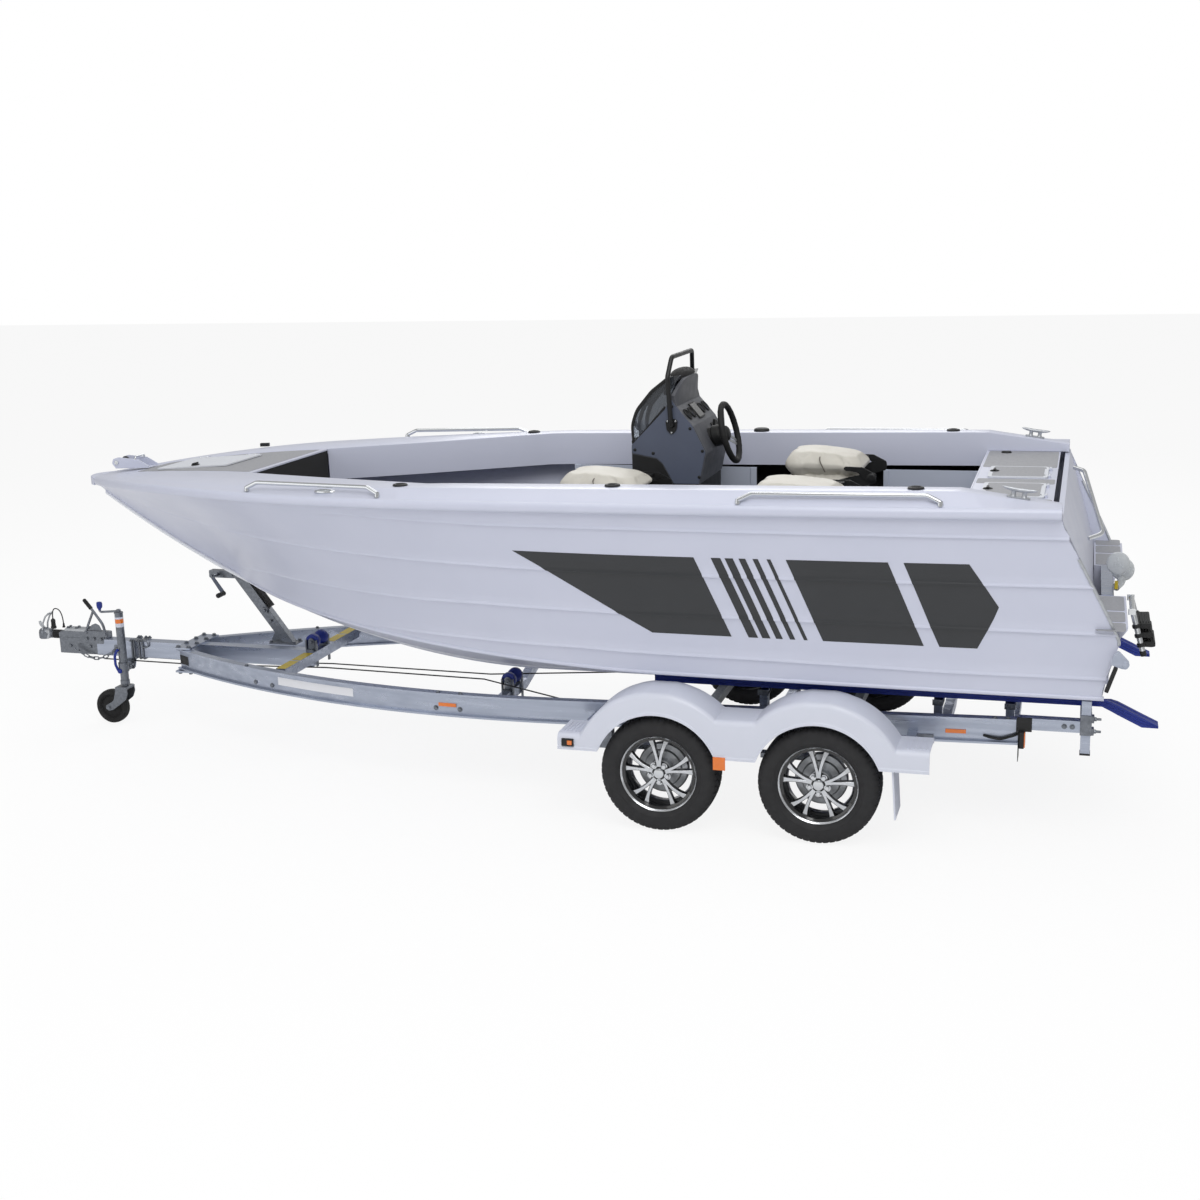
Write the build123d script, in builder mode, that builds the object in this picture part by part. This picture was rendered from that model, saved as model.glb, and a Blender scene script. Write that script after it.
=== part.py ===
from build123d import *
import os
from math import atan2, cos, sin

os.makedirs("parts", exist_ok=True)

# ------------------------------------------------------------------ driving dimensions
# Millimetres. +X points to the bow, +Y to port, +Z up, and the ground is Z = 0.
# Stations are measured forward from the middle of the two axles and shifted by
# AXLE_X, so that the origin lies under the middle of the whole outfit.
AXLE_X = -1377
AXLE_SPACING = 780
FIT = 0.05           # radial clearance of a shaft in its bore

# hull
SHEET = 5            # side sheet
HALF_BEAM = 1185
SHEER_FULL_X = 600
SHEER_RUN = 3570
CHINE_HALF = 1000
CHINE_FULL_X = 200
CHINE_RUN = 3040
STEM_START_X = 1350
KEEL_Z = 474
KEEL_BAR_HALF = 9
KEEL_BAR_DEPTH = 14
HULL_AFT_X = -1690
SHEER_AFT_X = -1450
SHEER_FORE_X = 4100
FLOOR_Z = 918
COAMING_Y = 960
COAMING_DEPTH = 190
FOREDECK_AFT_X = 2850
FOREDECK_HALF = 475    # half-width of its aft edge
AFT_DECK_X = -1010
AFT_DECK_TOP = 1600
BOW_TIP_X = 4172

# trailer
TYRE_R = 293
TYRE_WIDTH = 185
WHEEL_OUTER_Y = 1166
RIM_R = 192
WHEEL_Z = 293
RAIL_Y = 840
RAIL_DEPTH = 125
RAIL_WIDTH = 50
RAIL_SLOPE = -0.0192
RAIL_Z = 504.3
RAIL_AFT_X = -1286
RAIL_BEND_X = 1000
RAIL_BEND_R = 5100
RAIL_BEND = 30.9
CLAMP_X = (3520, 3630)
CLAMP_Y = 170
DRAWBAR_Z = 450
SKID_Y = (610, 690)
SKID_TOP = (643, 664)
SKID_DEPTH = 38
SKID_POST_X = (-40, -900, -1240)
REAR_X = -1590
FENDER_BRACKET_X = (-800, 0, 775)
JOCKEY_X = 4020
JOCKEY_Y = 118
JOCKEY_PIVOT_Z = 358
JOCKEY_TRAIL = 100
JOCKEY_WHEEL_R = 105

# cockpit
CONSOLE_Y = (-750, -200)
SEATS = {"helm": (-190, -450), "port": (-190, 470), "bow": (850, 330)}
SEAT_FLOOR_Z = 1440
HATCH_X = (3150, 3610)
HATCH_HINGE_X = (3215, 3545)
HATCH_HINGE_Y = -224
LID_HINGE = (-1369, 1607.5)
HINGE_BARREL_R = 6
HINGE_PIN_R = 3
ROD_HOLDER_X = (1720, 620, -810)
ROD_HOLDER_Y = 1025
LEAD_ROUTE = ((4488, 18, 560.5), (4488, 14, 662), (4582, -6, 680), (4582, -10, 600.5))
LEAD_R = 3.5
LEAD_BEND = 38
LINK_PITCH = 34
LINK_HALF = 19.5
LINK_HALF_WIDTH = 8.5
LINK_BAR = 3.5
STEER = (365, -450, 1755)
STEER_TILT = atan2(85, 340)


# ------------------------------------------------------------------ shared forms
def st(x):
    """Row X of a station x mm ahead of the middle of the axles."""
    return AXLE_X + x


def between(x, table):
    """Straight-line value between the (x, value) pairs of a table."""
    for (xa, va), (xb, vb) in zip(table, table[1:]):
        if x <= xb:
            return va + (vb - va) * max(0, x - xa) / (xb - xa)
    return table[-1][1]


def sheer_y(x):
    """Half-beam of the side's inner face at the gunwale."""
    ahead = max(0, x - SHEER_FULL_X) / SHEER_RUN
    aft = max(0, SHEER_FULL_X - x) / 2050
    return (HALF_BEAM - 55 * aft ** 2) * (1 - ahead ** 3.6)


def sheer_z(x):
    """Height of the side's top edge, which drops to the bow."""
    drop = max(0, x - 2800) / 1350
    return 1595 - 0.0068 * (x + 1450) - 90 * drop ** 2


def keel_z(x):
    """Height of the keel, and of the raked stem ahead of it."""
    rise = max(0, x - STEM_START_X) / 1000
    return KEEL_Z + 131 * rise ** 1.95


def chine_y(x):
    """Half-beam at the chine."""
    ahead = max(0, x - CHINE_FULL_X) / CHINE_RUN
    aft = max(0, CHINE_FULL_X - x) / 1870
    return (CHINE_HALF - 25 * aft ** 2) * (1 - min(1, ahead) ** 2.7)


def chine_z(x):
    """Height of the chine, which meets the stem where its half-beam is nothing."""
    end = CHINE_FULL_X + CHINE_RUN
    if x >= end:
        return keel_z(x)
    rise = max(0, x - 500) / (end - 500)
    return 748 + 8 * (min(x, 500) + 1700) / 1000 + (keel_z(end) - 766) * rise ** 1.3


def side_y(x, z):
    """Half-beam of the side's inner face at a height, flared towards the bow."""
    low, high = chine_z(x), sheer_z(x)
    share = min(1, max(0, (z - low) / (high - low)))
    flare = 1.06 + 0.4 * min(1, max(0, x - 1200) / 2000)
    return chine_y(x) + (sheer_y(x) - chine_y(x)) * share ** flare


def coaming_rise(x):
    """Height of the deck edge above the side's top edge."""
    return between(x, ((-1450, 48), (-1010, 112), (600, 104), (1500, 98), (2300, 74), (2850, 61),
                       (3620, 58), (4100, 54)))


def deck_z(x):
    return sheer_z(x) + coaming_rise(x)


def coaming_y(x):
    """Half-width of the open cockpit between the coamings."""
    fore_share = sheer_y(x) / sheer_y(FOREDECK_AFT_X)
    if x > FOREDECK_AFT_X:
        return FOREDECK_HALF * fore_share
    return between(x, ((1600, COAMING_Y), (FOREDECK_AFT_X, FOREDECK_HALF)))


def rail_z(x):
    """Height of the middle of the trailer's side rails."""
    return RAIL_Z + RAIL_SLOPE * x


def stations(start, end, count):
    return [start + (end - start) * i / (count - 1) for i in range(count)]


def ruled(sections):
    """Solid through closed outlines, given as (x, [(y, z), ...]), span by span."""
    with BuildPart() as form:
        for span in zip(sections, sections[1:]):
            for x, outline in span:
                with BuildSketch(Plane.YZ.offset(st(x))):
                    with BuildLine():
                        Polyline(*outline, close=True)
                    make_face()
            loft(ruled=True, clean=False)
    return form.part


def block(x0, x1, y0, y1, z0, z1, mode=Mode.ADD):
    """Box between six planes, with x as a station."""
    with Locations((st(x0), y0, z0)):
        Box(x1 - x0, y1 - y0, z1 - z0, align=(Align.MIN, Align.MIN, Align.MIN), mode=mode)


def profile_xz(points, y0, y1, mode=Mode.ADD):
    """Outline of (station, z) points, extruded from y0 to y1."""
    with BuildSketch(Plane.XZ.offset(-y1)) as outline:
        with BuildLine():
            Polyline(*[(st(x), z) for x, z in points], close=True)
        make_face()
    extrude(outline.sketch, amount=y1 - y0, mode=mode)


def rod(start, end, radius, mode=Mode.ADD):
    """Round bar between two points of the row frame."""
    way = Vector(*end) - Vector(*start)
    with BuildSketch(Plane(origin=start, z_dir=way.normalized())) as section:
        Circle(radius)
    extrude(section.sketch, amount=way.length, mode=mode)


def tube_along(points, radius, bend):
    """Bar of round section along a polyline with rounded corners."""
    with BuildPart() as bar:
        with BuildLine() as path:
            FilletPolyline(*points, radius=bend)
        start = Plane(origin=path.line @ 0, z_dir=path.line % 0)
        with BuildSketch(start):
            Circle(radius)
        sweep()
    return bar.part


def write(part, node):
    part.label = node
    export_step(part, f"parts/{node}.step")


# ------------------------------------------------------------------ hull
def side_sheet():
    """Port side from chine to gunwale, cut to the raked blade at the stern."""
    sections = []
    for x in stations(-1770, SHEER_FORE_X, 20):
        low, high = chine_z(x), sheer_z(x) - 0.5
        heights = [low + (high - low) * i / 5 for i in range(6)]
        inner = [(max(0.4, side_y(x, z)), z) for z in heights]
        outer = [(y + SHEET, z) for y, z in reversed(inner)]
        sections.append((x, inner + outer))
    sheet = ruled(sections)
    with BuildPart() as side:
        add(sheet)
        profile_xz([(-1450, 1700), (-1450, 1585), (-1530, 1417), (-1667, 1143), (-1720, 1027),
                    (-1652, 790), (-1652, 600), (-1900, 600), (-1900, 1700)], 800, 1300, Mode.SUBTRACT)
    return side


def hull_bottom():
    """Foam-filled bottom below the chines, with the keel bar that runs up the stem."""
    half = KEEL_BAR_HALF
    sections = []
    for x in stations(-1640, 3150, 15):
        keel, edge, top = keel_z(x), chine_y(x) - 0.5, chine_z(x) - 0.5
        port = [(half, keel - KEEL_BAR_DEPTH), (half, keel + 2), (edge, top)]
        sections.append((x, port + [(-y, z) for y, z in reversed(port)]))
    bar = []
    for x in stations(3150, SHEER_FORE_X, 9):
        low, high = keel_z(x) - KEEL_BAR_DEPTH, keel_z(x) - 0.5
        bar.append((x, [(half, low), (half, high), (-half, high), (-half, low)]))
    bottom = ruled(sections)
    stem = ruled(bar)
    with BuildPart() as hull:
        add(bottom)
        add(stem)
    return hull


def gunwale():
    """Port rub rail with the sloped coaming, its flat top and its inner face."""
    sections = []
    for x in stations(SHEER_AFT_X, AFT_DECK_X, 2) + stations(AFT_DECK_X + 1, 1600, 4) \
            + stations(2000, SHEER_FORE_X, 12):
        y, z, top = sheer_y(x), sheer_z(x), deck_z(x)
        inner = coaming_y(x)
        shoulder = max(y - 75, inner + 8, 0.5 * y)
        depth = COAMING_DEPTH if x < FOREDECK_AFT_X else 30
        if x <= AFT_DECK_X:
            depth = top - AFT_DECK_TOP - 1
        sections.append((x, [
            (y - 2, z), (y + SHEET + 22, z), (y + SHEET + 30, z + 12),
            (y + SHEET + 30, z + 38), (y + SHEET + 18, z + 48), (y, z + 50),
            (shoulder, top), (inner, top), (inner, top - depth), (inner + 4, top - depth),
            (inner + 4, top - 4), (shoulder - 1, top - 4), (y - 6, z + 42)]))
    edge = ruled(sections)
    with BuildPart() as coaming:
        add(edge)
        for x in ROD_HOLDER_X:
            rod((st(x), ROD_HOLDER_Y, 1600), (st(x), ROD_HOLDER_Y, 1800), 24, Mode.SUBTRACT)
    return coaming


def bow_cap():
    """Rounded nose that closes the two rub rails ahead of the stem."""
    x = SHEER_FORE_X + 0.5
    half = sheer_y(SHEER_FORE_X) + SHEET + 30
    base = sheer_z(SHEER_FORE_X)
    with BuildPart() as cap:
        with BuildSketch(Plane.XY.offset(base)):
            with BuildLine():
                Polyline((st(x), half), (st(x), -half))
                ThreePointArc((st(x), -half), (st(BOW_TIP_X), 0), (st(x), half))
            make_face()
        extrude(amount=50)
        fillet(cap.faces().sort_by(Axis.Z)[-1].edges(), 8)
    return cap


def transom():
    """Lower transom with the thicker board that an outboard bolts to."""
    x0, x1, skin = HULL_AFT_X, -1641, 9
    low, edge = keel_z(x1), chine_y(x1) - 4
    side = chine_z(x1)
    with BuildPart() as wall:
        with BuildSketch(Plane.YZ.offset(st(x1) - skin)):
            with BuildLine():
                Polyline((0, low), (edge, side), (edge, 788), (-edge, 788), (-edge, side), close=True)
            make_face()
        extrude(amount=skin)
        block(x0, x1, -350, 350, 640, 1087)
        for half, z in ((163.65, 1037), (125.4, 837)):
            for y in (-half, half):
                rod((st(x0) - 10, y, z), (st(x1) + 10, y, z), 6.6, Mode.SUBTRACT)
    return wall


def aft_bulkhead():
    """Slanted panel behind the aft deck, as wide as the hull between the side blades."""
    with BuildPart() as panel:
        profile_xz([(-1455, 1592), (-1600, 1092), (-1575, 1092), (-1430, 1592)], -1200, 1200)
        outline = [(side_y(-1450, 1592) - 3, 1592), (side_y(-1600, 1092) - 3, 1092)]
        with BuildSketch(Plane.YZ.offset(st(-1800))):
            with BuildLine():
                Polyline(*outline, *[(-y, z) for y, z in reversed(outline)], close=True)
            make_face()
        extrude(amount=600, mode=Mode.INTERSECT)
    return panel


def stern_platform():
    """Two buoyancy pods with flat tops, one each side of the outboard."""
    with BuildPart() as pods:
        for hand in (-1, 1):
            inner = 353
            outer = side_y(-1700, 800) - 6
            y0, y1 = sorted((hand * inner, hand * outer))
            profile_xz([(-1604, 1087), (-1752, 1087), (-1750, 1073), (-1714, 1022), (-1654, 792),
                        (-1604, 792)], y0, y1)
    return pods


def cockpit_floor():
    with BuildPart() as floor:
        port = [(st(x), side_y(x, FLOOR_Z - 20) - 10) for x in stations(-1000, 2840, 13)]
        with BuildSketch(Plane.XY.offset(FLOOR_Z - 20)):
            with BuildLine():
                Polyline(*port, *[(x, -y) for x, y in reversed(port)], close=True)
            make_face()
        extrude(amount=20)
    return floor


def side_pockets():
    """Upright inner panels that make a pocket along each side of the cockpit."""
    with BuildPart() as panels:
        for hand in (-1, 1):
            y0, y1 = sorted((hand * 926, hand * 932))
            low, sill, head = FLOOR_Z + 0.5, 1250, 1488
            profile_xz([(-985, low), (1430, low), (1430, head), (310, head), (310, sill),
                        (-430, sill), (-430, head), (-985, head)], y0, y1)
    return panels


def bow_bulkhead():
    """Upright panel under the foredeck's aft edge."""
    x = FOREDECK_AFT_X + 2
    top = deck_z(x + 6) - 12
    with BuildPart() as wall:
        low, step = FLOOR_Z - 10, top - 190
        heights = stations(low, step, 5)
        half = FOREDECK_HALF - 10
        port = [(side_y(x, z) - 12, z) for z in heights] + [(half, step), (half, top)]
        with BuildSketch(Plane.YZ.offset(st(x))):
            with BuildLine():
                Polyline(*port, *[(-y, z) for y, z in reversed(port)], close=True)
            make_face()
        extrude(amount=6)
    return wall


def foredeck():
    """Deck between the gunwales, with the anchor well that hangs below it."""
    sections = []
    for x in stations(FOREDECK_AFT_X, 4080, 7):
        half, top = coaming_y(x) - 3, deck_z(x) - 2
        sections.append((x, [(half, top), (-half, top), (-half, top - 8), (half, top - 8)]))
    plate = ruled(sections)
    x0, x1, half = 3200, 3560, 175
    base = 1340
    with BuildPart() as deck:
        add(plate)
        block(x0 - 5, x1 + 5, -half - 5, half + 5, base, deck_z(x1) - 6)
        block(x0, x1, -half, half, base + 5, 1700, Mode.SUBTRACT)
        block(x0 - 5, x1 + 5, -half - 5, half + 5, 1595, 1700, Mode.SUBTRACT)
        for x in HATCH_HINGE_X:
            ends = [hatch_hinge(x - 34), hatch_hinge(x + 34)]
            for end in ends:
                block(end[0] - AXLE_X - 3, end[0] - AXLE_X + 3, -230, -218, end[2] - 11, end[2] + 6)
            rod(ends[0], ends[1], HINGE_PIN_R)
    return deck


def hatch_hinge(x):
    """Point of the anchor hatch's hinge line at a station, along the sloping deck."""
    x0, x1 = HATCH_X
    share = (x - x0) / (x1 - x0)
    return (st(x), HATCH_HINGE_Y, deck_z(x0) + (deck_z(x1) - deck_z(x0)) * share + 7)


def anchor_hatch():
    """Lid over the anchor well, with two hinge barrels along its starboard edge."""
    x0, x1 = HATCH_X
    half = 215
    z0, z1 = deck_z(x0) + 2, deck_z(x1) + 2
    with BuildPart() as lid:
        profile_xz([(x0, z0), (x1, z1), (x1, z1 + 8), (x0, z0 + 8)], -half, half)
        fillet(lid.edges().filter_by(Axis.Z, tolerance=8), 20)
        for x in HATCH_HINGE_X:
            near, far = hatch_hinge(x - 30), hatch_hinge(x + 30)
            block(x - 29, x + 29, HATCH_HINGE_Y, -half + 10, far[2] - 3, near[2] + 1)
            rod(near, far, HINGE_BARREL_R)
            rod(hatch_hinge(x - 34), hatch_hinge(x + 34), HINGE_PIN_R + FIT, Mode.SUBTRACT)
    return lid


def aft_deck():
    """Deck across the stern with its front wall and two wells below lids."""
    half, top = COAMING_Y - 2, AFT_DECK_TOP
    with BuildPart() as deck:
        block(-1405, AFT_DECK_X, -half, half, top - 12, top)
        block(AFT_DECK_X - 12, AFT_DECK_X, -half, half, FLOOR_Z + 1, top - 12)
        for y0, y1 in ((-310, 10), (230, 610)):
            block(-1345, -1075, y0 - 5, y1 + 5, 1330, top - 12)
            block(-1340, -1080, y0, y1, 1335, top + 20, Mode.SUBTRACT)
        for y0, y1 in ((-310, 10), (230, 610)):
            for y in (y0 + 40, y1 - 40):
                for side in (-1, 1):
                    block(LID_HINGE[0] - 6, LID_HINGE[0] + 6, y + side * 24 - 3, y + side * 24 + 3,
                          top - 2, LID_HINGE[1] + 5)
                rod((st(LID_HINGE[0]), y - 24, LID_HINGE[1]), (st(LID_HINGE[0]), y + 24, LID_HINGE[1]),
                    HINGE_PIN_R)
    return deck


def deck_lid(y0, y1):
    """Lid that lies over a well of the aft deck, hinged along its aft edge."""
    with BuildPart() as lid:
        block(-1360, -1065, y0 - 18, y1 + 18, 1601, 1609)
        fillet(lid.edges().filter_by(Axis.Z), 20)
        x, z = LID_HINGE
        for y in (y0 + 40, y1 - 40):
            block(x, -1350, y - 19, y + 19, z - 4, z + 1)
            rod((st(x), y - 20, z), (st(x), y + 20, z), HINGE_BARREL_R)
            rod((st(x), y - 24, z), (st(x), y + 24, z), HINGE_PIN_R + FIT, Mode.SUBTRACT)
    return lid


# ------------------------------------------------------------------ deck fittings
def stainless_rails():
    """Low grab rails on the gunwales and the tube behind the aft bulkhead."""
    runs = []
    for hand in (-1, 1):
        for x0, x1 in ((1790, 2570), (-930, -20)):
            feet = [(x, hand * (sheer_y(x) - 8), sheer_z(x) + 72) for x in (x0, x1)]
            tops = [(x, hand * (sheer_y(x) - 22), sheer_z(x) + 100) for x in (x0 + 60, x1 - 60)]
            runs.append([feet[0], tops[0], tops[1], feet[1]])
    runs.append([(-1482, -640, 1560), (-1535, -600, 1550), (-1640, -80, 1310), (-1570, -40, 1290)])
    with BuildPart() as rails:
        for run in runs:
            tube = tube_along([(st(x), y, z) for x, y, z in run], 11, 45)
            add(tube)
    return rails


def rod_holders():
    """Six flush holders: a flange on the coaming and the tube that hangs below it."""
    with BuildPart() as holders:
        for hand in (-1, 1):
            for x in ROD_HOLDER_X:
                y, z = hand * ROD_HOLDER_Y, deck_z(x) + 2.4
                rod((st(x), y, z), (st(x), y, z + 6), 38)
                rod((st(x), y, z - 190), (st(x), y, z), 23)
                rod((st(x), y, z - 200), (st(x), y, z + 10), 20.5, Mode.SUBTRACT)
    return holders


def deck_hardware():
    """Bow roller bracket, mooring cleats and the tie-down eyes at the stern."""
    with BuildPart() as hardware:
        x0, x1 = 3760, 3990
        base = deck_z(x0) + 2
        for hand in (-1, 1):
            y0, y1 = sorted((hand * 48, hand * 54))
            profile_xz([(x0, base), (x1, base - 8), (x1 + 20, base + 30), (x1 - 10, base + 62),
                        (x0 + 60, base + 52), (x0, base + 16)], y0, y1)
        profile_xz([(x0, base), (x1, base - 8), (x1, base - 2), (x0, base + 6)], -50, 50)
        rod((st(x1 - 15), -50, base + 28), (st(x1 - 15), 50, base + 28), 24)
        x, half = -1260, 30
        horn_z = deck_z(x) + 43
        for hand in (-1, 1):
            y = hand * 1030
            profile_xz([(x - half, deck_z(x - half) + 1), (x + half, deck_z(x + half) + 1),
                        (x + half, horn_z), (x - half, horn_z)], y - 18, y + 18)
            block(x - 75, x + 75, y - 9, y + 9, horn_z, horn_z + 16)
    return hardware


# ------------------------------------------------------------------ console and helm
def console():
    """Side console: black base, grey pod with its sloped dash, and the helm housing."""
    y0, y1 = CONSOLE_Y
    with BuildPart() as pod:
        profile_xz([(860, FLOOR_Z + 1), (866, 1705), (675, 1905), (640, 1987), (618, 1984),
                    (606, 1925), (515, 1819), (441, 1676), (481, 1511), (500, FLOOR_Z + 1)], y0, y1)
        axis = Vector(cos(STEER_TILT), 0, -sin(STEER_TILT))
        hub = Vector(st(STEER[0]), STEER[1], STEER[2])
        start, end = hub + axis * 48, hub + axis * 150
        rod(tuple(start), tuple(end), 52)
        rod(tuple(hub), tuple(hub + axis * 100), 10 + FIT, Mode.SUBTRACT)
    return pod


def windscreen():
    """Curved tinted screen with its hood, on the console's front slope."""
    y0, y1 = CONSOLE_Y
    with BuildPart() as screen:
        profile_xz([(868, 1706), (876, 1820), (847, 1905), (760, 2010), (670, 2080), (573, 2139),
                    (545, 2090), (602, 2085), (677, 1907)], y0 + 25, y1 - 25)
    return screen


def console_rail():
    """Black tube over the console, a foot plate on each side."""
    y0, y1 = CONSOLE_Y
    reach = 22
    run = [(634, y1 + 16, 1812), (634, y1 + reach, 1840), (650, y1 + 16, 2090), (640, y1 - 40, 2190),
           (640, y0 + 40, 2190), (650, y0 - 16, 2090), (634, y0 - reach, 1840), (634, y0 - 16, 1812)]
    tube = tube_along([(st(x), y, z) for x, y, z in run], 13, 14)
    with BuildPart() as rail:
        add(tube)
        for y, hand in ((y1, 1), (y0, -1)):
            lo, hi = sorted((y + hand * 0.5, y + hand * 6))
            block(610, 660, lo, hi, 1785, 1850)
    return rail


def steering_wheel():
    """Rim, three spokes, hub and the shaft that turns in the helm housing."""
    axis = Vector(cos(STEER_TILT), 0, -sin(STEER_TILT))
    hub = Vector(st(STEER[0]), STEER[1], STEER[2])
    plane = Plane(origin=tuple(hub), x_dir=(0, 1, 0), z_dir=tuple(axis))
    with BuildPart() as wheel:
        with BuildSketch(Plane(origin=plane.origin, x_dir=plane.x_dir, z_dir=plane.y_dir)):
            with Locations((160, 0)):
                Circle(15)
        revolve(axis=Axis(plane.origin, plane.z_dir))
        with BuildSketch(plane.offset(4)):
            Circle(46)
            for turn in (90, 210, 330):
                with Locations(Rot(0, 0, turn) * Pos(80, 0, 0)):
                    Rectangle(160, 32)
        extrude(amount=5)
        with BuildSketch(plane.offset(0)):
            Circle(30)
        extrude(amount=30)
        with BuildSketch(plane.offset(20)):
            Circle(10)
        extrude(amount=70)
    return wheel


# ------------------------------------------------------------------ seats
def pedestals():
    """Floor posts, each with the bore that a seat's spigot turns in."""
    with BuildPart() as posts:
        for x, y in SEATS.values():
            rod((st(x), y, FLOOR_Z), (st(x), y, FLOOR_Z + 10), 110)
            rod((st(x), y, FLOOR_Z), (st(x), y, SEAT_FLOOR_Z - 0.5), 36)
            rod((st(x), y, SEAT_FLOOR_Z - 60), (st(x), y, SEAT_FLOOR_Z + 1), 15 + FIT, Mode.SUBTRACT)
    return posts


HINGE_BACK = 262     # seat hinge behind the seat's middle
HINGE_UP = 112       # and above the seat's underside


def seat_base(x, y):
    """Cushion on its pan, the spigot below and the two hinge ears behind."""
    z = SEAT_FLOOR_Z
    with BuildPart() as base:
        block(x - 215, x + 225, y - 225, y + 225, z + 26, z + 104)
        fillet(base.edges().filter_by(Axis.Z), 60)
        fillet(base.faces().sort_by(Axis.Z)[-1].edges(), 22)
        block(x - 150, x + 150, y - 150, y + 150, z, z + 26)
        rod((st(x), y, z + 5), (st(x), y, z - 50), 15)
        for hand in (-1, 1):
            y0, y1 = sorted((y + hand * 228, y + hand * 236))
            profile_xz([(x - 120, z + 36), (x - HINGE_BACK - 24, z + 84), (x - HINGE_BACK - 24, z + 136),
                        (x - HINGE_BACK + 24, z + 136), (x + 60, z + 60), (x + 60, z + 36)], y0, y1)
            inner, outer = sorted((y + hand * 215, y + hand * 229))
            block(x - 110, x + 40, inner, outer, z + 38, z + 58)
            rod((st(x - HINGE_BACK), y + hand * 230, z + HINGE_UP),
                (st(x - HINGE_BACK), y + hand * 246, z + HINGE_UP), 9)
    return base


def seat_back(x, y):
    """Backrest folded forward onto the cushion, with an arm to each hinge pin."""
    z = SEAT_FLOOR_Z + HINGE_UP
    hinge = x - HINGE_BACK
    with BuildPart() as back:
        block(hinge + 30, hinge + 510, y - 222, y + 222, z + 8, z + 110)
        fillet(back.edges().filter_by(Axis.Z), 60)
        fillet(back.faces().sort_by(Axis.Z)[-1].edges(), 30)
        for hand in (-1, 1):
            y0, y1 = sorted((y + hand * 237, y + hand * 245))
            profile_xz([(hinge - 20, z - 20), (hinge - 20, z + 20), (hinge + 60, z + 70),
                        (hinge + 260, z + 70), (hinge + 260, z + 40), (hinge + 80, z + 30),
                        (hinge + 20, z - 20)], y0, y1)
            inner, outer = sorted((y + hand * 215, y + hand * 238))
            block(hinge + 100, hinge + 240, inner, outer, z + 42, z + 66)
            rod((st(hinge), y + hand * 225, z), (st(hinge), y + hand * 250, z), 9 + FIT, Mode.SUBTRACT)
    return back


# ------------------------------------------------------------------ stern fittings
def boarding_ladder():
    """Folded ladder on the port platform's edge: two side tubes and stacked treads."""
    with BuildPart() as ladder:
        for y in (440, 700):
            rod((st(-1775), y, 1100), (st(-1850), y, 830), 13)
        for i in range(4):
            z = 900 + 45 * i
            x = -1790 - 0.28 * (1100 - z)
            block(x - 45, x + 25, 442, 698, z, z + 26)
        rod((st(-1775), 425, 1100), (st(-1775), 715, 1100), 13)
    return ladder


# ------------------------------------------------------------------ trailer frame
def side_rail():
    """Port side rail: an aluminium I-beam, straight aft and swept in to the drawbar."""
    slope = Vector(1, 0, RAIL_SLOPE).normalized()
    frame = Plane(origin=(st(0), 0, RAIL_Z), x_dir=tuple(slope), z_dir=(-slope.Z, 0, slope.X))
    with BuildPart() as rail:
        with BuildLine(frame) as path:
            Line((RAIL_AFT_X, RAIL_Y), (RAIL_BEND_X, RAIL_Y))
            JernArc((RAIL_BEND_X, RAIL_Y), (1, 0), RAIL_BEND_R, -RAIL_BEND)
        end = Plane(origin=path.line @ 0, x_dir=(0, 1, 0), z_dir=path.line % 0)
        with BuildSketch(end):
            for side in (-1, 1):
                with Locations((0, side * (RAIL_DEPTH / 2 - 5))):
                    Rectangle(RAIL_WIDTH, 10)
            Rectangle(7, RAIL_DEPTH)
        sweep()
    return rail


def drawbar():
    """Centre tube from the first crossmember to the coupling, with its clamp plates."""
    with BuildPart() as bar:
        block(2785, 4250, -37, 37, DRAWBAR_Z - 50, DRAWBAR_Z + 50)
        for z0, z1, half in ((-92, -82, CLAMP_Y), (-82, -50, 37), (50, 51, 37), (51, 61, CLAMP_Y)):
            block(*CLAMP_X, -half, half, DRAWBAR_Z + z0, DRAWBAR_Z + z1)
        pivot = (st(JOCKEY_X), 37, JOCKEY_PIVOT_Z)
        profile_xz([(JOCKEY_X - 40, 399), (JOCKEY_X + 40, 399), (JOCKEY_X + 26, JOCKEY_PIVOT_Z - 24),
                    (JOCKEY_X - 26, JOCKEY_PIVOT_Z - 24)], 30, 37)
        block(JOCKEY_X - 40, JOCKEY_X + 40, 30, 37, 399, 401)
        rod((pivot[0], 31, pivot[2]), (pivot[0], 70, pivot[2]), 10)
    return bar


def crossmember(x, dip, half=RAIL_Y - 3.6, rise=7.5, width=50, depth=57):
    """Tube across the frame that dips below the keel in the middle."""
    top = rail_z(x) + rise
    points = [(half, top), (half - 120, top), (180, top - dip), (-180, top - dip), (120 - half, top),
              (-half, top)]
    lower = [(y, z - depth) for y, z in reversed(points)]
    with BuildSketch(Plane.YZ.offset(st(x) - width / 2)) as outline:
        with BuildLine():
            Polyline(*points, *lower, close=True)
        make_face()
    extrude(outline.sketch, amount=width)


def skid_post(x, hand, foot):
    """Upright between a crossmember and the lower face of a skid."""
    y0, y1 = sorted((hand * (SKID_Y[0] + 10), hand * (SKID_Y[1] - 10)))
    block(x - 20, x + 20, y0, y1, foot, SKID_TOP[0] - SKID_DEPTH - 0.2)


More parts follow.
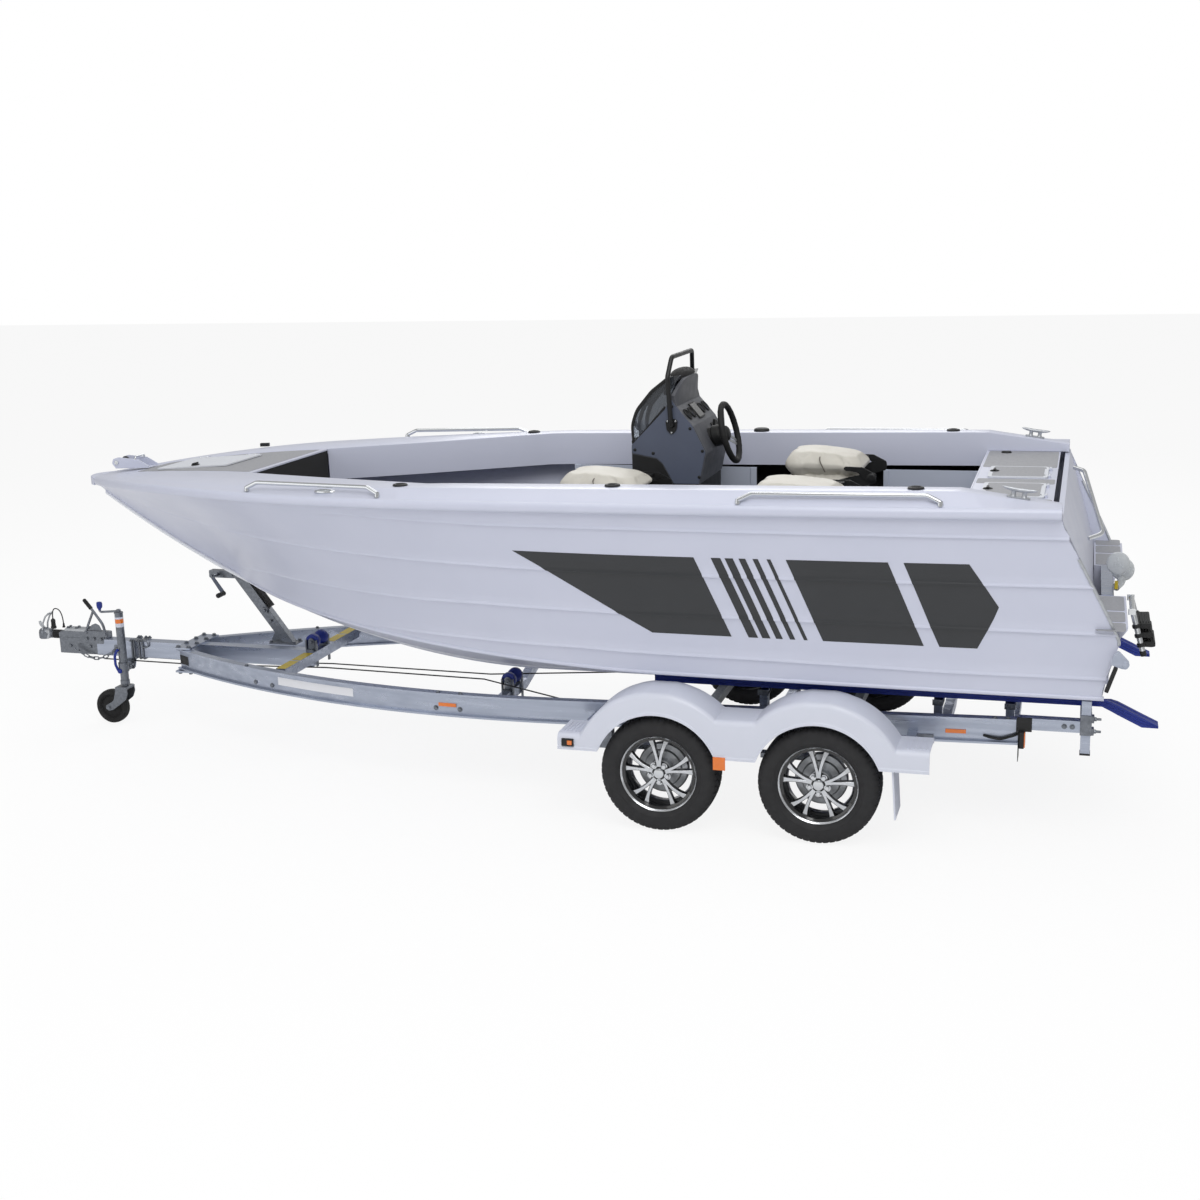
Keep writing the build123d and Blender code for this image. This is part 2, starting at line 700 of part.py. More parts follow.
def crossmembers():
    """Beams between the rails, the posts under the skids and the mudguard brackets."""
    with BuildPart() as beams:
        half = 485
        block(2725, 2785, -half, half, 455, 515)
        crossmember(1550, 140, half=802)
        crossmember(-40, 150)
        crossmember(-900, 150)
        crossmember(SKID_POST_X[-1], 150)
        for hand in (-1, 1):
            for x in SKID_POST_X:
                skid_post(x, hand, rail_z(x) - 45)
            y0, y1 = sorted((hand * (RAIL_Y + 4), hand * 965.5))
            for x in FENDER_BRACKET_X:
                low = max(455, rail_z(x) - 50)
                block(x - 22, x + 22, y0, y1, low, low + 38)
    return beams


def rear_frame():
    """Arms off the rail ends, the rear crossmember and the upright hull guides."""
    with BuildPart() as frame:
        arm_low, arm_high = 546, 602
        crossmember(REAR_X, 190, half=820, rise=arm_high - rail_z(REAR_X))
        for hand in (-1, 1):
            y0, y1 = sorted((hand * 812, hand * 868))
            block(REAR_X, RAIL_AFT_X - 1.6, y0, y1, arm_low, arm_high)
            block(REAR_X - 22, REAR_X + 22, y0, y1, 445, 700)
            skid_post(REAR_X, hand, arm_high - 80)
    return frame


def wheel_hub_x(place):
    return AXLE_SPACING / 2 if place == "front" else -AXLE_SPACING / 2


def axles():
    """Two square beams with round stubs that carry the hubs."""
    stub = WHEEL_OUTER_Y - 60
    with BuildPart() as beams:
        for place in ("front", "rear"):
            x = wheel_hub_x(place)
            block(x - 25, x + 25, -950, 950, WHEEL_Z - 25, WHEEL_Z + 25)
            rod((st(x), -stub, WHEEL_Z), (st(x), stub, WHEEL_Z), 17)
    return beams


def springs():
    """Slipper springs below each rail, with their hangers."""
    with BuildPart() as leaves:
        for hand in (-1, 1):
            y0, y1 = sorted((hand * (RAIL_Y - 28), hand * (RAIL_Y + 28)))
            for place in ("front", "rear"):
                x = wheel_hub_x(place)
                block(x - 330, x + 330, y0, y1, WHEEL_Z + 26, WHEEL_Z + 50)
            for x in (-740, 0, 740):
                block(x - 35, x + 35, y0, y1, WHEEL_Z + 20, rail_z(x) - RAIL_DEPTH / 2 - 2)
    return leaves


def wheel_tyre(x, hand):
    """Tyre with its bead and shoulders, revolved round the axle."""
    outer, inner = WHEEL_OUTER_Y, WHEEL_OUTER_Y - TYRE_WIDTH
    with BuildPart() as tyre:
        with BuildSketch(Plane.YZ.offset(st(x))):
            with BuildLine():
                Polyline((hand * (outer - 14), WHEEL_Z + RIM_R), (hand * outer, WHEEL_Z + RIM_R + 30),
                         (hand * (outer - 4), WHEEL_Z + TYRE_R - 26), (hand * (outer - 22), WHEEL_Z + TYRE_R),
                         (hand * (inner + 22), WHEEL_Z + TYRE_R), (hand * (inner + 4), WHEEL_Z + TYRE_R - 26),
                         (hand * inner, WHEEL_Z + RIM_R + 30), (hand * (inner + 14), WHEEL_Z + RIM_R),
                         close=True)
            make_face()
        revolve(axis=Axis((st(x), 0, WHEEL_Z), (0, 1, 0)))
    return tyre


def wheel_rim(x, hand):
    """Alloy wheel with five pairs of spokes, its hub and the brake disc behind it."""
    face = hand * (WHEEL_OUTER_Y - 30)
    outward = Plane(origin=(st(x), face, WHEEL_Z), x_dir=(1, 0, 0), z_dir=(0, hand, 0))
    with BuildPart() as rim:
        with BuildSketch(outward):
            Circle(RIM_R - 0.3)
            Circle(RIM_R - 14, mode=Mode.SUBTRACT)
        extrude(amount=16)
        extrude(rim.faces().sort_by(Axis.Y)[0 if hand > 0 else -1], amount=140)
        with BuildSketch(outward):
            Circle(48)
            for i in range(5):
                for spread in (-9, 9):
                    with Locations(Rot(0, 0, 90 + 72 * i + spread) * Pos(105, 0, 0)):
                        Rectangle(170, 17)
        extrude(amount=10)
        with BuildSketch(outward.offset(-62)):
            Circle(56)
        extrude(amount=64)
        with BuildSketch(outward.offset(-62)):
            Circle(128)
        extrude(amount=-14)
        rod((st(x), face - hand * 120, WHEEL_Z), (st(x), face - hand * 20, WHEEL_Z), 17 + FIT, Mode.SUBTRACT)
    return rim


def fender(hand):
    """Moulded tandem mudguard: two arches, a step at each end and the bracket feet."""
    inner, outer, skin = 966, 1196, 14
    arch_r, opening_r = 425, 312
    with BuildPart() as guard:
        with BuildSketch(Plane.XZ.offset(-hand * outer)):
            for place in ("front", "rear"):
                with Locations((st(wheel_hub_x(place)), WHEEL_Z)):
                    Circle(arch_r)
            with Locations((st(0), 330), (st(0), 500)):
                Rectangle(240, 200)
            with Locations((st(775), 445), (st(-800), 470)):
                Rectangle(220, 80)
            with Locations((st(0), 5)):
                Rectangle(2400, 800, mode=Mode.SUBTRACT)
        extrude(amount=hand * (outer - inner))
        with BuildSketch(Plane.XZ.offset(-hand * (outer - skin))):
            for place in ("front", "rear"):
                with Locations((st(wheel_hub_x(place)), WHEEL_Z)):
                    Circle(arch_r - skin)
        extrude(amount=hand * (outer - inner), mode=Mode.SUBTRACT)
        for place in ("front", "rear"):
            x = wheel_hub_x(place)
            rod((st(x), hand * 900, WHEEL_Z), (st(x), hand * 1300, WHEEL_Z), opening_r, Mode.SUBTRACT)
    return guard


def skids():
    """Two long plastic bearers under the hull, bent down behind the transom."""
    inner, outer = SKID_TOP
    sections = []
    for x, tops, depth in ((-1920, (548, 548), 8), (-1846, (586, 586), 52), (-1728, (inner, inner), 56),
                           (-1667, (inner, outer), 40), (520, (inner, outer), SKID_DEPTH)):
        upper = list(zip(SKID_Y, tops))
        lower = [(y, z - depth) for y, z in reversed(upper)]
        sections.append((x, upper + lower))
    port = ruled(sections)
    with BuildPart() as bearers:
        add(port)
        add(mirror(port, about=Plane.XZ))
    return bearers


def keel_rollers():
    """Plastic rollers on brackets that carry the keel."""
    with BuildPart() as rollers:
        for x, z, bed in ((2765, 566, 515), (1550, 398, rail_z(1550) - 132.5)):
            rod((st(x), -70, z), (st(x), 70, z), 42)
            for hand in (-1, 1):
                y0, y1 = sorted((hand * 71, hand * 77))
                block(x - 20, x + 20, y0, y1, bed + 0.5, z + 12)
    return rollers


def winch_post():
    """Post leaning forward to the stem, with the winch and its crank on top."""
    y0, y1 = -130, -80
    with BuildPart() as post:
        profile_xz([(3035, 501), (2960, 501), (3250, 890), (3325, 890)], y0, y1)
        profile_xz([(3250, 891), (3500, 891), (3500, 935), (3280, 935)], y0, y1)
        rod((st(3440), y1, 912), (st(3440), -10, 912), 9)
        rod((st(3440), -18, 920), (st(3370), -18, 810), 9)
        rod((st(3370), -18, 818), (st(3370), 60, 812), 13)
    return post


# ------------------------------------------------------------------ trailer front
def coupling():
    """Override coupling with the ball socket, and its handbrake lever."""
    with BuildPart() as head:
        block(4180, 4520, -34, 34, 501, 560)
        block(4251, 4520, -34, 34, 400, 501)
        rod((st(4500), 0, 510), (st(4600), 0, 510), 30)
        rod((st(4640), 0, 480), (st(4640), 0, 545), 39)
        rod((st(4640), 0, 470), (st(4640), 0, 512), 25.5, Mode.SUBTRACT)
        rod((st(4172), 50, 541), (st(4240), 50, 672), 9)
        rod((st(4240), 50, 672), (st(4305), 50, 752), 11)
        rod((st(4304), 50, 552), (st(4244), 50, 676), 8)
        block(4155, 4320, 30, 58, 520, 556)
    return head


def plug_lead():
    """Lamp lead that leaves the coupling and arches over to its parked plug."""
    with BuildPart() as lead:
        add(tube_along([(st(x), y, z) for x, y, z in LEAD_ROUTE], LEAD_R, LEAD_BEND))
    return lead


def lead_plug():
    """Seven-pin plug parked mouth down on the coupling's neck."""
    x, y, z = LEAD_ROUTE[-1]
    with BuildPart() as plug:
        rod((st(x), y, z), (st(x), y, 541), 14)
        rod((st(x), y, 556), (st(x), y, 541), 17)
        rod((st(x), y, z - 0.5), (st(x), y, z + 12), LEAD_R, Mode.SUBTRACT)
    return plug


def chain_link(centre, along, flat):
    """One oval link of round bar: two half rings joined by straight legs."""
    way, side = Vector(*along).normalized(), Vector(*flat).normalized()
    middle = Vector(*centre)
    corners = []
    for a, b in ((-1, -1), (1, -1), (1, 1), (-1, 1)):
        corners.append(tuple(middle + way * (a * LINK_HALF) + side * (b * LINK_HALF_WIDTH)))
    with BuildPart() as link:
        with BuildLine() as path:
            FilletPolyline(*corners, radius=LINK_HALF_WIDTH - 0.5, close=True)
        with BuildSketch(Plane(origin=path.line @ 0, z_dir=path.line % 0)):
            Circle(LINK_BAR)
        sweep()
    return link.part


def safety_chains():
    """Two short chains that hang from the drawbar, every second link turned."""
    links = []
    for hand in (-1, 1):
        for i in range(9):
            sag = 55 * (1 - ((i - 4) / 4) ** 2)
            slope = 55 * 2 * (i - 4) / 16 / LINK_PITCH
            along = (1, 0, slope)
            flat = (0, 1, 0) if i % 2 else (-slope, 0, 1)
            centre = (st(4110) + LINK_PITCH * i, hand * 62, 440 - sag)
            links.append(chain_link(centre, along, flat))
    with BuildPart() as chains:
        for link in links:
            add(link)
    return chains


def jockey_tube():
    """Outer tube of the jockey stand with the crank handle on top."""
    x, y, top = JOCKEY_X, JOCKEY_Y, 700
    with BuildPart() as tube:
        rod((st(x), y, 250), (st(x), y, top), 25)
        rod((st(x), y, top - 6), (st(x + 135), y, top - 6), 8)
        rod((st(x + 130), y, top - 12), (st(x + 130), y, top + 60), 12)
        block(x - 26, x + 26, 43, y - 20, JOCKEY_PIVOT_Z - 26, JOCKEY_PIVOT_Z + 26)
        rod((st(x), 40, JOCKEY_PIVOT_Z), (st(x), 71, JOCKEY_PIVOT_Z), 10 + FIT, Mode.SUBTRACT)
        rod((st(x), y, 238), (st(x), y, 610), 19 + FIT, Mode.SUBTRACT)
    return tube


def jockey_leg():
    """Inner leg and the fork that swivels below it."""
    x, y = JOCKEY_X, JOCKEY_Y
    axle_x = x + JOCKEY_TRAIL
    with BuildPart() as leg:
        rod((st(x), y, 236), (st(x), y, 600), 19)
        block(x - 30, axle_x - 20, y - 46, y + 46, 222, 238)
        for hand in (-1, 1):
            y0, y1 = sorted((y + hand * 38, y + hand * 46))
            profile_xz([(x - 30, 238), (x - 30, 222), (axle_x - 22, 90), (axle_x + 22, 90),
                        (axle_x + 22, 120), (axle_x - 20, 238)], y0, y1)
        rod((st(axle_x), y - 44, JOCKEY_WHEEL_R), (st(axle_x), y + 44, JOCKEY_WHEEL_R), 9)
    return leg


def jockey_wheel():
    axle_x = JOCKEY_X + JOCKEY_TRAIL
    with BuildPart() as wheel:
        rod((st(axle_x), JOCKEY_Y - 30, JOCKEY_WHEEL_R), (st(axle_x), JOCKEY_Y + 30, JOCKEY_WHEEL_R),
            JOCKEY_WHEEL_R)
        fillet(wheel.edges().filter_by(GeomType.CIRCLE), 14)
        rod((st(axle_x), JOCKEY_Y - 40, JOCKEY_WHEEL_R), (st(axle_x), JOCKEY_Y + 40, JOCKEY_WHEEL_R),
            9 + FIT, Mode.SUBTRACT)
    return wheel


def tail_lamps():
    """Lamps and number-plate blade at the rear ends of the rails."""
    with BuildPart() as lamps:
        for hand in (-1, 1):
            y0, y1 = sorted((hand * 815, hand * 900))
            block(RAIL_AFT_X - 35, RAIL_AFT_X - 2, y0, y1, 458, 541)
    return lamps


# ------------------------------------------------------------------ write every piece
port_side = side_sheet()
write(port_side.part, "hull_side_port")
write(mirror(port_side.part, about=Plane.XZ), "hull_side_starboard")
port_gunwale = gunwale()
write(port_gunwale.part, "gunwale_port")
write(mirror(port_gunwale.part, about=Plane.XZ), "gunwale_starboard")
port_rail = side_rail()
write(port_rail.part, "trailer_rail_port")
write(mirror(port_rail.part, about=Plane.XZ), "trailer_rail_starboard")

SINGLE = {
    "hull_bottom": hull_bottom, "bow_cap": bow_cap, "transom": transom,
    "aft_bulkhead": aft_bulkhead, "stern_platform": stern_platform,
    "cockpit_floor": cockpit_floor, "side_pockets": side_pockets,
    "bow_bulkhead": bow_bulkhead, "foredeck": foredeck, "anchor_hatch": anchor_hatch,
    "aft_deck": aft_deck, "stainless_rails": stainless_rails, "rod_holders": rod_holders,
    "deck_hardware": deck_hardware, "console": console, "windscreen": windscreen,
    "console_rail": console_rail, "steering_wheel": steering_wheel,
    "seat_pedestals": pedestals, "boarding_ladder": boarding_ladder, "drawbar": drawbar,
    "crossmembers": crossmembers, "axles": axles, "springs": springs, "skids": skids,
    "rear_frame": rear_frame,
    "keel_rollers": keel_rollers, "winch_post": winch_post,
    "coupling": coupling, "safety_chains": safety_chains,
    "plug_lead": plug_lead, "lead_plug": lead_plug, "jockey_tube": jockey_tube,
    "jockey_leg": jockey_leg, "jockey_wheel": jockey_wheel, "tail_lamps": tail_lamps,
}
for node, make in SINGLE.items():
    write(make().part, node)

write(deck_lid(-310, 10).part, "bait_lid")
write(deck_lid(230, 610).part, "locker_lid")
for name, (seat_x, seat_y) in SEATS.items():
    write(seat_base(seat_x, seat_y).part, f"seat_{name}")
    write(seat_back(seat_x, seat_y).part, f"seat_back_{name}")
for side, hand in (("port", 1), ("starboard", -1)):
    write(fender(hand).part, f"fender_{side}")
    for place in ("front", "rear"):
        write(wheel_tyre(wheel_hub_x(place), hand).part, f"tyre_{place}_{side}")
        write(wheel_rim(wheel_hub_x(place), hand).part, f"rim_{place}_{side}")
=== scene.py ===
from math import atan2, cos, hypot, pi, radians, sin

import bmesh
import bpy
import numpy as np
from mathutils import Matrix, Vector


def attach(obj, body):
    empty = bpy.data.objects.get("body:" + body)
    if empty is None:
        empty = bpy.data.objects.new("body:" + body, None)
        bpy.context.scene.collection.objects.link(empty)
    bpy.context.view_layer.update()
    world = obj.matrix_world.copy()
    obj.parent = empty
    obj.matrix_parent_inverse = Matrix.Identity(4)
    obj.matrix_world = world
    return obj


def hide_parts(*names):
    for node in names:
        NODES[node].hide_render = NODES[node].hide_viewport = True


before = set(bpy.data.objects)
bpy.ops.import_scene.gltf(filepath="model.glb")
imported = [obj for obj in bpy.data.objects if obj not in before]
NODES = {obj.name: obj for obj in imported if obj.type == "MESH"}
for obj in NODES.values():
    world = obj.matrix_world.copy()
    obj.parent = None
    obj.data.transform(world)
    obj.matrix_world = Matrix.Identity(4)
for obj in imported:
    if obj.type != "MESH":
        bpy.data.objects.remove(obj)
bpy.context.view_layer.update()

# %% [markdown]
# # An aluminium fishing boat on its tandem trailer
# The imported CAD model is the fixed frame: it holds every size, mount and hinge.
# This lesson dresses it. Sheet metal, cushions, wheels and trailer ironwork are
# worked out as arrays of points, so a reader can see each shape as a formula.
# All the numbers below are millimetres, measured forward (x) from the middle of
# the two axles, to port (y) and up from the ground (z). One function at the end
# of the shape tools moves them into Blender's metres.

AXLE_X = -1377.0
ORIGIN = (0, 0, 0)
AHEAD, TO_PORT, UP = (1, 0, 0), (0, 1, 0), (0, 0, 1)
ASTERN, TO_STARBOARD, DOWN = (-1, 0, 0), (0, -1, 0), (0, 0, -1)

# %% [markdown]
# ## Shape tools
# A part is three things: points, an array of four-cornered faces, and a short
# list of many-cornered end caps. A grid of points gives a sheet, a profile
# carried along a path gives a rail or tube, an outline between two planes gives
# a plate, and a profile turned round an axis gives a wheel.

# %% Sheets and closed shells from a grid
def grid(points, round_u=False, round_v=False, caps=False):
    """Faces between the neighbours of an (m, n, 3) array: corner (i, j) joins (i+1, j+1)."""
    points = np.asarray(points, float)
    m, n = points.shape[:2]
    rows = np.arange(m if round_u else m - 1)
    columns = np.arange(n if round_v else n - 1)
    i, j = np.meshgrid(rows, columns, indexing="ij")
    i2, j2 = (i + 1) % m, (j + 1) % n
    quads = np.stack([i * n + j, i2 * n + j, i2 * n + j2, i * n + j2], -1).reshape(-1, 4)
    ends = [list(range(n))[::-1], list(range((m - 1) * n, m * n))] if caps else []
    return points.reshape(-1, 3), quads, ends


def solid(rings):
    """A closed shell: rings of points joined one after the other, with a cap on both ends."""
    return grid(rings, round_v=True, caps=True)


def full_turn(count):
    """Even angles once round, in radians."""
    return np.linspace(0, 2 * pi, count, endpoint=False)


def join(*parts):
    """Several parts as one: each part's corner numbers move on by the points before it."""
    starts = np.cumsum([0] + [len(p[0]) for p in parts])
    points = np.concatenate([p[0] for p in parts])
    quads = np.concatenate([p[1] + s for p, s in zip(parts, starts)])
    caps = [[k + int(s) for k in cap] for p, s in zip(parts, starts) for cap in p[2]]
    return points, quads, caps


print(len(grid(np.zeros((3, 4, 3)))[1]), "faces in a sheet of 3 by 4 points")


# %% Twins, moved parts and copies
def mirrored(part):
    """The same part on the other side: y changes sign."""
    return part[0] * [1, -1, 1], part[1], part[2]


def both_sides(part):
    """The part and its twin on the other side, as one."""
    return join(part, mirrored(part))


def paired(*parts):
    """Each (part, material) with its twin on the other side."""
    return [(both_sides(part), material) for part, material in parts]


def moved(part, offset):
    """The part, shifted by the offset in mm."""
    return part[0] + np.asarray(offset, float), part[1], part[2]


def copies(part, offsets):
    """One copy of the part at each offset."""
    return join(*[moved(part, offset) for offset in offsets])


HANDS = {"port": lambda part: part, "starboard": mirrored}
print("hands:", *HANDS)


# %% Softened corners, plates, boxes
def softened(corners, bend, steps=5, loop=False):
    """Each corner becomes a short curve between points a tangent length away:
    (1-s)^2 start + 2 s (1-s) corner + s^2 end, with s from 0 to 1."""
    c = np.asarray(corners, float)
    to_last, to_next = np.roll(c, 1, -2) - c, np.roll(c, -1, -2) - c
    last, ahead = (np.linalg.norm(v, axis=-1, keepdims=True) + 1e-9 for v in (to_last, to_next))
    cosine = -np.sum(to_last * to_next, -1, keepdims=True) / (last * ahead)
    half = np.tan(np.arccos(np.clip(cosine, -0.99, 1)) / 2)
    bend = np.broadcast_to(np.asarray(bend, float), c.shape[-2:-1])[:, None]
    reach = np.minimum(bend * half, 0.48 * np.minimum(last, ahead))
    start, end = c + to_last / last * reach, c + to_next / ahead * reach
    s = np.linspace(0, 1, steps)[:, None]
    curve = ((1 - s) ** 2 * start[..., None, :] + 2 * s * (1 - s) * c[..., None, :]
             + s ** 2 * end[..., None, :])
    if not loop:
        curve[..., 0, :, :] = c[..., 0, None, :]
        curve[..., -1, :, :] = c[..., -1, None, :]
    return curve.reshape(*c.shape[:-2], -1, c.shape[-1])


def plate(outline, axis, low, high, bend=0.0):
    """An outline in the plane across the axis, given twice: at low and at high."""
    flat = np.asarray(outline, float)
    if np.any(bend):
        flat = softened(flat, bend, loop=True)
    order = {"x": (2, 0, 1), "y": (0, 2, 1), "z": (0, 1, 2)}[axis]
    rings = np.stack([np.column_stack([flat, np.full(len(flat), level)])[:, order]
                      for level in (low, high)])
    return solid(rings)


def box(x0, x1, y0, y1, z0, z1, bend=0.0):
    """A block between two stations on each axis, its upright edges rounded by the bend."""
    return plate([(x0, y0), (x1, y0), (x1, y1), (x0, y1)], "z", z0, z1, bend)


print("a rounded box has", len(box(0, 9, 0, 9, 0, 9, 2)[0]), "points")

# %% Profiles carried along paths, and turned ones
def carried(profile, path, up=UP, loop=False):
    """At each path point the profile's first number goes sideways (up x tangent)
    and its second one upwards (tangent x side)."""
    path, profile = np.asarray(path, float), np.asarray(profile, float)
    if loop:
        along = np.roll(path, -1, 0) - np.roll(path, 1, 0)
    else:
        along = np.gradient(path, axis=0)
    along /= np.linalg.norm(along, axis=1, keepdims=True)
    side = np.cross(np.asarray(up, float), along)
    side /= np.linalg.norm(side, axis=1, keepdims=True)
    lift = np.cross(along, side)
    profile = np.broadcast_to(profile, (len(path), *profile.shape[-2:]))
    points = path[:, None] + profile[..., :1] * side[:, None] + profile[..., 1:] * lift[:, None]
    return grid(points, round_u=loop, round_v=True, caps=not loop)


def ring_of(radius, count=14):
    """Points round a circle."""
    angle = full_turn(count)
    return np.column_stack([np.cos(angle), np.sin(angle)]) * np.reshape(radius, (-1, 1))


def tube(corners, radius, bend=0.0, count=12, loop=False):
    """A round bar along a path; the path's own flattest direction is its up."""
    path = softened(corners, bend, 7, loop) if np.any(bend) else np.asarray(corners, float)
    keep = np.r_[True, np.linalg.norm(np.diff(path, axis=0), axis=1) > 1e-6]
    path = path[keep]
    up = np.linalg.svd(path - path.mean(0))[2][2]
    return carried(ring_of(radius, count), path, up=up, loop=loop)


def turned(profile, centre, axis, count=32):
    """A profile of (radius, distance along the axis) pairs, turned once round."""
    axis = np.asarray(axis, float) / np.linalg.norm(axis)
    first = np.cross(axis, UP if abs(axis[2]) < 0.9 else AHEAD)
    first /= np.linalg.norm(first)
    second = np.cross(axis, first)
    radius, along = np.asarray(profile, float).T
    angle = full_turn(count)
    spokes = np.cos(angle)[:, None] * first + np.sin(angle)[:, None] * second
    points = (np.asarray(centre, float) + along[:, None, None] * axis
              + radius[:, None, None] * spokes[None])
    return solid(points)


def bolts(places, axis, across=17, height=8, washer=True):
    """Hexagon heads on washers, at each place, standing along the axis."""
    angle = full_turn(6)
    head = turned([(across * 0.577, 2), (across * 0.577, height - 1.5), (across * 0.5, height)],
                  ORIGIN, axis, len(angle))
    if washer:
        head = join(head, turned([(across * 0.85, 0), (across * 0.85, 2)], ORIGIN, axis, 16))
    return copies(head, places)


print("a bolt head on its washer has", len(bolts([ORIGIN], UP)[0]), "points")

# %% One object from parts
def piece(name, parts, body="root", stands_for=(), bevel=0.0, sharp=38):
    """Makes an object of (part, material) pairs, hands it to a CAD body and says what it made."""
    materials = list(dict.fromkeys(m for _, m in parts))
    points, quads, caps = join(*[part for part, _ in parts])
    numbers = [materials.index(m) for part, m in parts for _ in range(len(part[1]))]
    numbers += [materials.index(m) for part, m in parts for _ in part[2]]
    mesh = bpy.data.meshes.new(name)
    mesh.from_pydata(((points + [AXLE_X, 0, 0]) / 1000).tolist(), [], quads.tolist() + caps)
    for material in materials:
        mesh.materials.append(material)
    mesh.polygons.foreach_set("material_index", numbers)
    tidy = bmesh.new()
    tidy.from_mesh(mesh)
    bmesh.ops.remove_doubles(tidy, verts=tidy.verts, dist=2e-6)
    bmesh.ops.dissolve_degenerate(tidy, edges=tidy.edges, dist=1e-7)
    bmesh.ops.recalc_face_normals(tidy, faces=tidy.faces)
    tidy.to_mesh(mesh)
    tidy.free()
    mesh.shade_smooth()
    if not bevel:
        mesh.set_sharp_from_angle(angle=radians(sharp))
    obj = bpy.data.objects.new(name, mesh)
    bpy.context.scene.collection.objects.link(obj)
    if bevel:
        edge = obj.modifiers.new("soft edges", "BEVEL")
        edge.width, edge.segments = bevel / 1000, 2
        edge.limit_method, edge.angle_limit = "ANGLE", radians(32)
        obj.modifiers.new("flat faces", "WEIGHTED_NORMAL").keep_sharp = True
    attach(obj, body)
    if stands_for:
        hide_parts(*stands_for)
    print(name, len(mesh.polygons), "faces, rides", body)
    return obj

# %% [markdown]
# ## Finishes
# Every finish starts from the real stuff: painted sheet, mill aluminium, dipped
# zinc, moulded plastic, stitched vinyl. A colour is written as a paint code, and
# the pattern sizes are millimetres of the real surface.

# %% Colour codes and the one node helper
def paint(code):
    """Hex sRGB to linear: c / 12.92 when dark, else ((c + 0.055) / 1.055) to the power 2.4."""
    c = np.array([int(code[k:k + 2], 16) for k in (1, 3, 5)]) / 255
    return (*np.where(c <= 0.04045, c / 12.92, ((c + 0.055) / 1.055) ** 2.4).tolist(), 1.0)


def add_node(tree, kind, inputs=None, **properties):
    """One node with its settings: an input is a value, or another node's output to link."""
    made = tree.nodes.new("ShaderNode" + kind)
    for key, value in properties.items():
        setattr(made, key, value)
    for key, value in (inputs or {}).items():
        if isinstance(value, bpy.types.NodeSocket):
            tree.links.new(value, made.inputs[key])
        else:
            made.inputs[key].default_value = value
    return made


def finish(name, colour, second, rough, size=40.0, stretch=(1, 1, 1), detail=4, bump=0.0, grain=2.0,
           pattern="TexNoise", **shader):
    """Mottle of `size` mm blends two close colours and two roughnesses; grains of `grain` mm
    lift the surface by `bump` mm. The shader's even values go straight to its sockets."""
    material = bpy.data.materials.new(name)
    material.use_nodes = True
    tree = material.node_tree
    tree.nodes.clear()
    place = add_node(tree, "TexCoord").outputs["Object"]
    along = add_node(tree, "Mapping", {"Vector": place, "Scale": stretch}).outputs[0]
    mottle = add_node(tree, "TexNoise", {"Vector": along, "Scale": 1000 / size, "Detail": detail})
    colours = add_node(tree, "Mix", {0: mottle.outputs[0], 6: paint(colour), 7: paint(second)},
                       data_type="RGBA")
    roughness = add_node(tree, "MapRange", {0: mottle.outputs[0], 1: 0.3, 2: 0.7,
                                            3: rough[0], 4: rough[1]})
    surface = {"Base Color": colours.outputs[2], "Roughness": roughness.outputs[0], **shader}
    if bump:
        height = add_node(tree, pattern, {"Vector": along, "Scale": 1000 / grain}).outputs[0]
        surface["Normal"] = add_node(tree, "Bump", {"Height": height, "Distance": bump / 1000,
                                                    "Strength": 1.0}).outputs[0]
    skin = add_node(tree, "BsdfPrincipled", surface)
    add_node(tree, "OutputMaterial", {"Surface": skin.outputs[0]})
    return material


print("mid grey #808080 is", round(paint("#808080")[0], 3), "in linear light")

# %% [markdown]
# Painted sheet: a two-pack enamel sprayed on pressed aluminium. It is glossy with
# a faint orange peel. The film on the sides is cut from satin vinyl. The decks have
# grit in the paint, drawn here as small round grains.

# %% Paints and films
# White enamel, darkened and tinted blue-grey: the tint is painted shade that stands in for the cool daylight
# shade on the hull.
SHADE_TINTED_ENAMEL = finish("enamel_paint_shade_tinted", "#C9CCDC", "#C2C6D7", (0.30, 0.38), 300, bump=0.05, grain=9,
                **{"Coat Weight": 0.15, "Coat Roughness": 0.2})
# A brighter white on the stem's rolled edge: a painted highlight that stands in for the light the edge
# catches.
STEM_HIGHLIGHT_PAINT = finish("stem_edge_painted_highlight", "#F2F4F9", "#ECEEF4", (0.35, 0.42), 200, bump=0.04, grain=9)
INNER_ENAMEL = finish("enamel_inner", "#BFC5D3", "#B6BDCC", (0.28, 0.36), 240, bump=0.05, grain=8)
SIDE_FILM = finish("vinyl_film", "#2C2E31", "#292B2E", (0.34, 0.42), 180, bump=0.03, grain=6)
SLASH_FILM = finish("vinyl_film_white", "#E9EAEE", "#E4E5EA", (0.30, 0.36), 180, bump=0.03, grain=6)
DECK_GRIT = finish("deck_grit_paint", "#9C9DA1", "#8F9095", (0.55, 0.7), 14, bump=0.6, grain=4.5,
                   pattern="TexVoronoi")
PALE_GRIT = finish("hatch_grit_paint", "#D3D6DC", "#C9CCD3", (0.5, 0.65), 14, bump=0.5, grain=4.5,
                   pattern="TexVoronoi")
CARPET = finish("marine_carpet", "#0D0D0F", "#070708", (0.85, 0.98), 6, bump=1.4, grain=3.2,
                **{"Sheen Weight": 0.03, "Sheen Roughness": 0.6})
FLOOR_CARPET = finish("floor_carpet", "#6C6E72", "#5A5C60", (0.85, 0.98), 7, bump=1.4, grain=3.2,
                      **{"Sheen Weight": 0.2, "Sheen Roughness": 0.6})

print("film and paints up to", FLOOR_CARPET.name)

# %% [markdown]
# Metals: rolled aluminium shows fine streaks along the bar, hot-dip zinc shows
# spangle the size of a thumbnail, stainless tube is polished, castings are matt.

